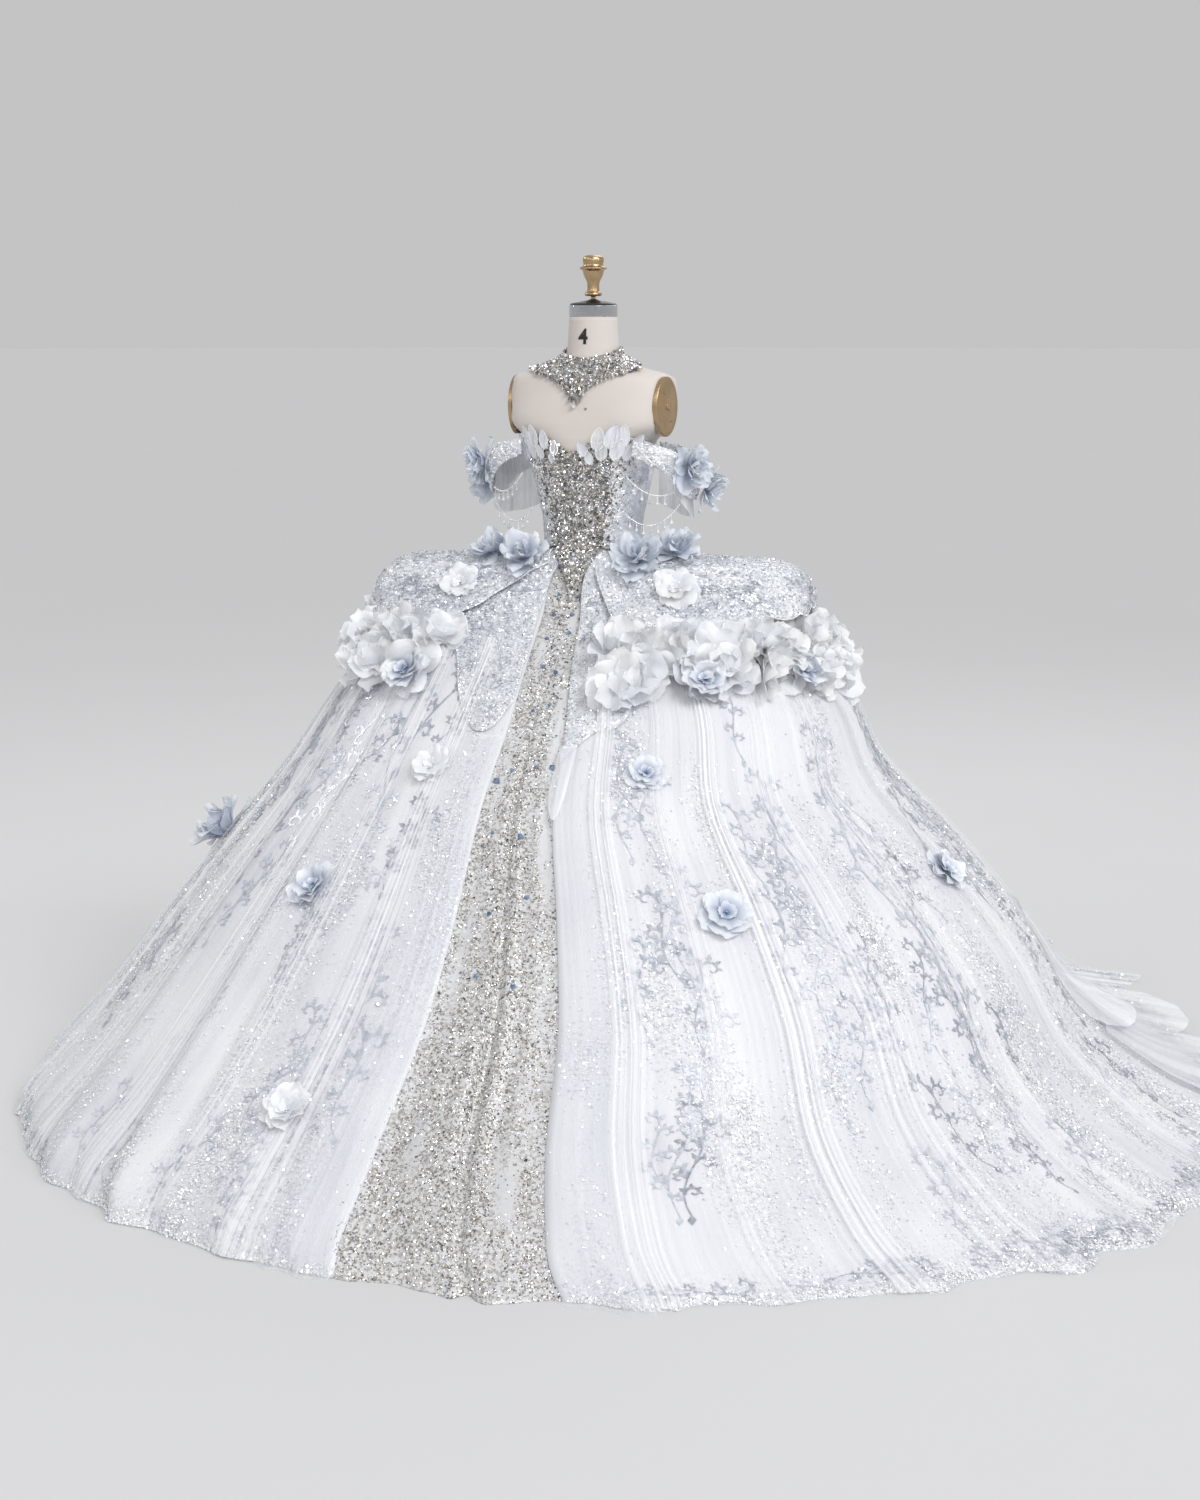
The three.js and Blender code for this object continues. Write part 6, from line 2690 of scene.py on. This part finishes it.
@dataclass
class Peplum:
    """Stiff scalloped peplum and the organza ruffles under it."""

    finishes: Finishes
    wall: float = 2.2 * MM
    puffs: float = 0.14
    end: float = 150.0
    rng: Rng = field(default_factory=lambda: np.random.default_rng(SEED + 4))

    def build(self) -> None:
        """Builds the four peplum pieces and both ruffles."""
        for plan in PEPLUM:
            self.piece(plan)
        self.ruffle(Side.LEFT, 30)
        self.ruffle(Side.RIGHT, 10)

    def piece(self, plan: PeplumPlan) -> None:
        """One stiff panel with sprays, sequins and a row of beads round its free edges.

        Args:
            plan: The panel.
        """

        def turn(number: int) -> Array:
            """Random turns in radians."""
            return rng.uniform(-2, 2, number)

        def haze(u: Array, v: Array) -> Array:
            """Density of the sequins, thicker towards the hem."""
            return 0.25 + 0.75 * shimmer(u * 3, v) + 0.8 * v**3

        patch, kind, key, rng, finishes = Patch(plan.point), plan.kind, plan.key, self.rng, self.finishes
        cloth = patch.cloth(f"peplum_lace_{key}", *kind.grid, wall=self.wall)
        dress(cloth, finishes.sequined, "sequin", f"peplum_{key}")
        spray, size, name = scroll_spray(31), (0.05, 0.10), f"peplum_sprays_{key}"
        embroidered(name, patch, spray, kind.sprays, size, turn, rng, finishes.vine, "sequin")
        spots, name = patch.sample(kind.sequins, rng, haze), f"peplum_sequins_{key}"
        scattered(name, patch, sequin(), spots, (1.7, 3.0), rng, finishes.mixed, "sequin", lift=1.6, tilt=0.4)
        hem, front = np.linspace(0, 1, kind.trim), np.linspace(0, 1, 90)
        u = np.append(hem, np.full(len(front), 0.002 if plan.side is Side.RIGHT else 0.998))
        spots, name = (u, np.append(np.full(len(hem), 0.994), front)), f"peplum_trim_{key}"
        scattered(name, patch, pointed_stone(), spots, (1.8, 2.6), rng, finishes.silver, "sequin", lift=0.3)

    def ruffle(self, side: Side, start: float) -> None:
        """Bank of soft organza puffs along the hip.

        Args:
            side: Its side.
            start: Ring angle of its front end in degrees.
        """
        rng, span = self.rng, self.end - start
        count = int(span * self.puffs)
        for index, phase in enumerate((0.3, 1.9, 3.6)):
            template = petal(phase, PUFF_HEAD.slim, 0.13)
            step = (np.arange(count) + rng.uniform(0.1, 0.9, count)) / count
            place = side.value * (start + span * step), rng.uniform(4.65, 5.5, count)
            axes = SKIRT.normal(*place) + 0.45 * DOWN + rng.normal(0, 0.3, (count, 3))
            heads = zip(skirt_out(*place, 11 * MM), axes, rng.uniform(0.052, 0.078, count))
            parts = [PUFF_HEAD.petals(rng, *head) for head in heads]
            places = turned_copies(template, *(np.concatenate(part) for part in zip(*parts)))
            tints = rng.random(len(places)) ** 2
            piece = joined(f"hip_puff_{side.word}_{index + 1}", template, places, tints)
            nodes = [f"hip_ruffle_{side.word}"] if index == 0 else []
            dress(piece, self.finishes.white_petal, "organza", *nodes)


# ---------------------------------------------------------------- flowers


class Bloom(Enum):
    """Colouring of an organza flower, by the name of its finish."""

    DUSTY = "dusty_petal"
    EYED = "eyed_petal"
    WHITE = "white_petal"


@dataclass(frozen=True)
class FlowerPlan:
    """Flower on the skirt: ring angle, row, lift and radius in mm, and colouring."""

    name: str
    angle: float
    row: float
    lift: float
    radius: float
    bloom: Bloom


SKIRT_FLOWERS = (
    FlowerPlan("waist_left_1", -28, 1.1, 13, 50, Bloom.DUSTY),
    FlowerPlan("waist_left_2", -56, 1, 13, 46, Bloom.DUSTY),
    FlowerPlan("waist_left_3", -31, 2.9, 18.5, 48, Bloom.WHITE),
    FlowerPlan("waist_right_1", 27, 1.1, 13, 50, Bloom.DUSTY),
    FlowerPlan("waist_right_2", 62, 0.8, 12.5, 50, Bloom.DUSTY),
    FlowerPlan("waist_right_3", 26, 2.9, 18.5, 50, Bloom.WHITE),
    FlowerPlan("hip_left_1", -36, 5.5, 34, 50, Bloom.EYED),
    FlowerPlan("hip_left_2", -20, 6.6, 2, 46, Bloom.WHITE),
    FlowerPlan("hip_left_3", -74, 5.3, 32, 48, Bloom.WHITE),
    FlowerPlan("hip_right_1", 34, 5.5, 34, 48, Bloom.EYED),
    FlowerPlan("hip_right_2", 22, 6.6, 2, 42, Bloom.EYED),
    FlowerPlan("hip_right_3", 62, 5.4, 33, 46, Bloom.EYED),
    FlowerPlan("hip_right_4", 94, 5.2, 31, 46, Bloom.WHITE),
    FlowerPlan("skirt_left_1", -84, 8.1, 4, 62, Bloom.DUSTY),
    FlowerPlan("skirt_left_2", -32, 8, 4, 52, Bloom.EYED),
    FlowerPlan("skirt_left_3", -19, 9.9, 11, 50, Bloom.WHITE),
    FlowerPlan("skirt_right_1", 31, 8.05, 4, 54, Bloom.EYED),
    FlowerPlan("skirt_right_2", 78, 8.05, 4, 52, Bloom.EYED),
)
# Flowers on each sleeve: name, share round the loop and height in metres.
SLEEVE_FLOWERS = (("sleeve_upper", 0.36, 1.316), ("sleeve_lower", 0.56, 1.270))


@dataclass
class Flowers:
    """Organza flowers on the waist, hips, skirt and sleeves."""

    finishes: Finishes
    sleeves: Sleeves
    sleeve_radius: float = 44 * MM
    heart_beads: int = 9
    rng: Rng = field(default_factory=lambda: np.random.default_rng(SEED + 5))

    def build(self) -> None:
        """Builds every flower."""
        for plan in SKIRT_FLOWERS:
            place = np.array([plan.angle], float), np.array([plan.row], float)
            foot, axis = skirt_out(*place, plan.lift * MM)[0], SKIRT.normal(*place)[0]
            self.flower(plan.name, foot, axis, plan.radius * MM, plan.bloom)
        for side in Side:
            for name, along, z in SLEEVE_FLOWERS:
                inset = np.array([-13, -60]) * MM
                foot, tip = self.sleeves.point(side, np.full(2, along), np.full(2, z), inset)
                self.flower(f"{name}_{side.word}", foot, tip - foot, self.sleeve_radius, Bloom.DUSTY)

    def flower(self, name: str, foot: Array, axis: Array, radius: float, bloom: Bloom) -> None:
        """One flower of whorls of petals with a beaded heart.

        Args:
            name: Name after "flower_" of the CAD node.
            foot: Where its centre is sewn on.
            axis: Direction in which it opens.
            radius: Radius of the open flower.
            bloom: Its colouring.
        """
        rng, count, axis = self.rng, self.heart_beads, unit(axis)
        head = SPIKY_HEAD if bloom is Bloom.DUSTY else OPEN_HEAD
        template = petal(rng.uniform(0, 6), head.slim)
        places = turned_copies(template, *head.petals(rng, foot, axis, radius))
        places[..., 2] = np.maximum(places[..., 2], MM)
        organza = getattr(self.finishes, bloom.value)
        sewn(f"organza_{name}", template, places, rng, organza, "flower", f"flower_{name}")
        first, second = facing_pair(axis)
        turn, spread = rng.uniform(0, math.tau, count)[:, None], rng.uniform(0, 0.14, count)[:, None] * radius
        hearts = foot + axis * 8 * MM + (first * np.cos(turn) + second * np.sin(turn)) * spread
        along = rng.normal(0, 1, (count, 3))
        places = turned_copies(bead(), hearts, axis, along, rng.uniform(1.4, 2.4, count) * MM)
        stones = self.finishes.blue if bloom is Bloom.EYED else self.finishes.silver
        sewn(f"heart_{name}", bead(), places, rng, stones, "crystal")


# ---------------------------------------------------------------- studio


@dataclass(frozen=True)
class SoftLight:
    """Area light: place, target, size in metres and power in watts."""

    place: Triple
    target: Triple
    size: float
    power: float


@dataclass(frozen=True)
class SunLight:
    """Wide light from far away: name, direction and strength."""

    name: str
    way: Triple
    strength: float


@dataclass
class Studio:
    """Pale floor, soft lights and the camera."""

    azimuth: float = 13.0
    distance: float = 5.4
    height: float = 1.65
    pitch: float = 10.0
    aside: float = 0.014
    lens: float = 60.96
    floor_radius: float = 90.0
    world: float = 0.55
    dark: float = 0.40
    sun_spread: float = 28.0
    lights: tuple[SoftLight, ...] = (
        SoftLight((0.5, 3.8, 4.4), (0, 0, 0.8), 2.6, 40.0),
        SoftLight((1.4, -4.8, 2.9), (0, 0, 0.9), 0.16, 22.0),
        SoftLight((-1.6, -4.6, 3.4), (0, 0, 0.9), 0.16, 18.0),
        SoftLight((3.8, -1.4, 3.0), (0, 0, 0.9), 0.16, 16.0),
        SoftLight((-3.8, 1.0, 3.4), (0, 0, 0.9), 0.16, 14.0),
    )
    suns: tuple[SunLight, ...] = (
        SunLight("key_light", (-0.62, 0.60, -0.72), 1.8),
        SunLight("fill_light", (0.8, 0.55, -0.5), 0.25),
    )

    def build(self) -> None:
        """Builds the floor, lights, world and camera."""
        bm = bmesh.new()
        bmesh.ops.create_circle(bm, cap_ends=True, segments=128, radius=self.floor_radius)
        mesh = bpy.data.meshes.new("floor")
        bm.to_mesh(mesh)
        bm.free()
        mesh.materials.append(StudioFloor().make())
        linked("floor", mesh)
        self.sky()
        bpy.context.scene.view_settings.view_transform = "Standard"
        for index, plan in enumerate(self.lights):
            way = Vector(plan.target) - Vector(plan.place)
            light = self.aimed(f"soft_light_{index + 1}", "AREA", plan.power, way)
            light.data.size = plan.size
            light.location = plan.place
        for plan in self.suns:
            sun = self.aimed(plan.name, "SUN", plan.strength, Vector(plan.way))
            sun.data.angle = math.radians(self.sun_spread)
        self.camera()

    @staticmethod
    def aimed(name: str, kind: str, power: float, way: Vector) -> Piece:
        """Adds a light that shines in a direction.

        Args:
            name: Its name.
            kind: Its type.
            power: Its power.
            way: The direction.

        Returns:
            The light.
        """
        data = bpy.data.lights.new(name, kind)
        data.energy = power
        light = linked(name, data)
        light.rotation_euler = way.to_track_quat("-Z", "Y").to_euler()
        return light

    def sky(self) -> None:
        """Studio surroundings: pale behind the gown, darker behind the camera."""
        world = bpy.data.worlds.new("studio")
        world.use_nodes = True
        tree = world.node_tree
        where = tree.nodes.new("ShaderNodeTexCoord").outputs["Generated"]
        split = tree.nodes.new("ShaderNodeSeparateXYZ")
        spread = tree.nodes.new("ShaderNodeMapRange")
        tree.links.new(where, split.inputs[0])
        tree.links.new(split.outputs["Y"], spread.inputs["Value"])
        limits = (("From Min", -0.9), ("From Max", 0.5), ("To Min", self.dark), ("To Max", self.world))
        for socket, value in limits:
            spread.inputs[socket].default_value = value
        tree.links.new(spread.outputs[0], tree.nodes["Background"].inputs["Color"])
        bpy.context.scene.world = world

    def camera(self) -> None:
        """Camera at standing height, a little to the right of the front."""
        around, down = math.radians(self.azimuth), math.radians(self.pitch)
        right = Vector((math.cos(around), math.sin(around), 0))
        ahead = Vector((-math.sin(around), math.cos(around), 0))
        data = bpy.data.cameras.new("camera")
        data.sensor_width = 36.0
        data.lens = self.lens
        camera = linked("camera", data)
        camera.location = Vector((0, 0, self.height)) - ahead * self.distance + right * self.aside
        view = ahead * math.cos(down) - Vector((0, 0, math.sin(down)))
        camera.rotation_euler = view.to_track_quat("-Z", "Y").to_euler()
        bpy.context.scene.camera = camera


def main() -> None:
    """Builds the studio, the form and the gown in order."""
    logging.basicConfig(level=logging.INFO, format="%(name)s %(message)s")
    Studio().build()
    finishes = Finishes()
    sleeves = Sleeves(finishes)
    DressForm(finishes).build()
    Skirt(finishes).build()
    Bodice(finishes).build()
    sleeves.build()
    Peplum(finishes).build()
    Flowers(finishes, sleeves).build()


if __name__ == "__main__":
    main()
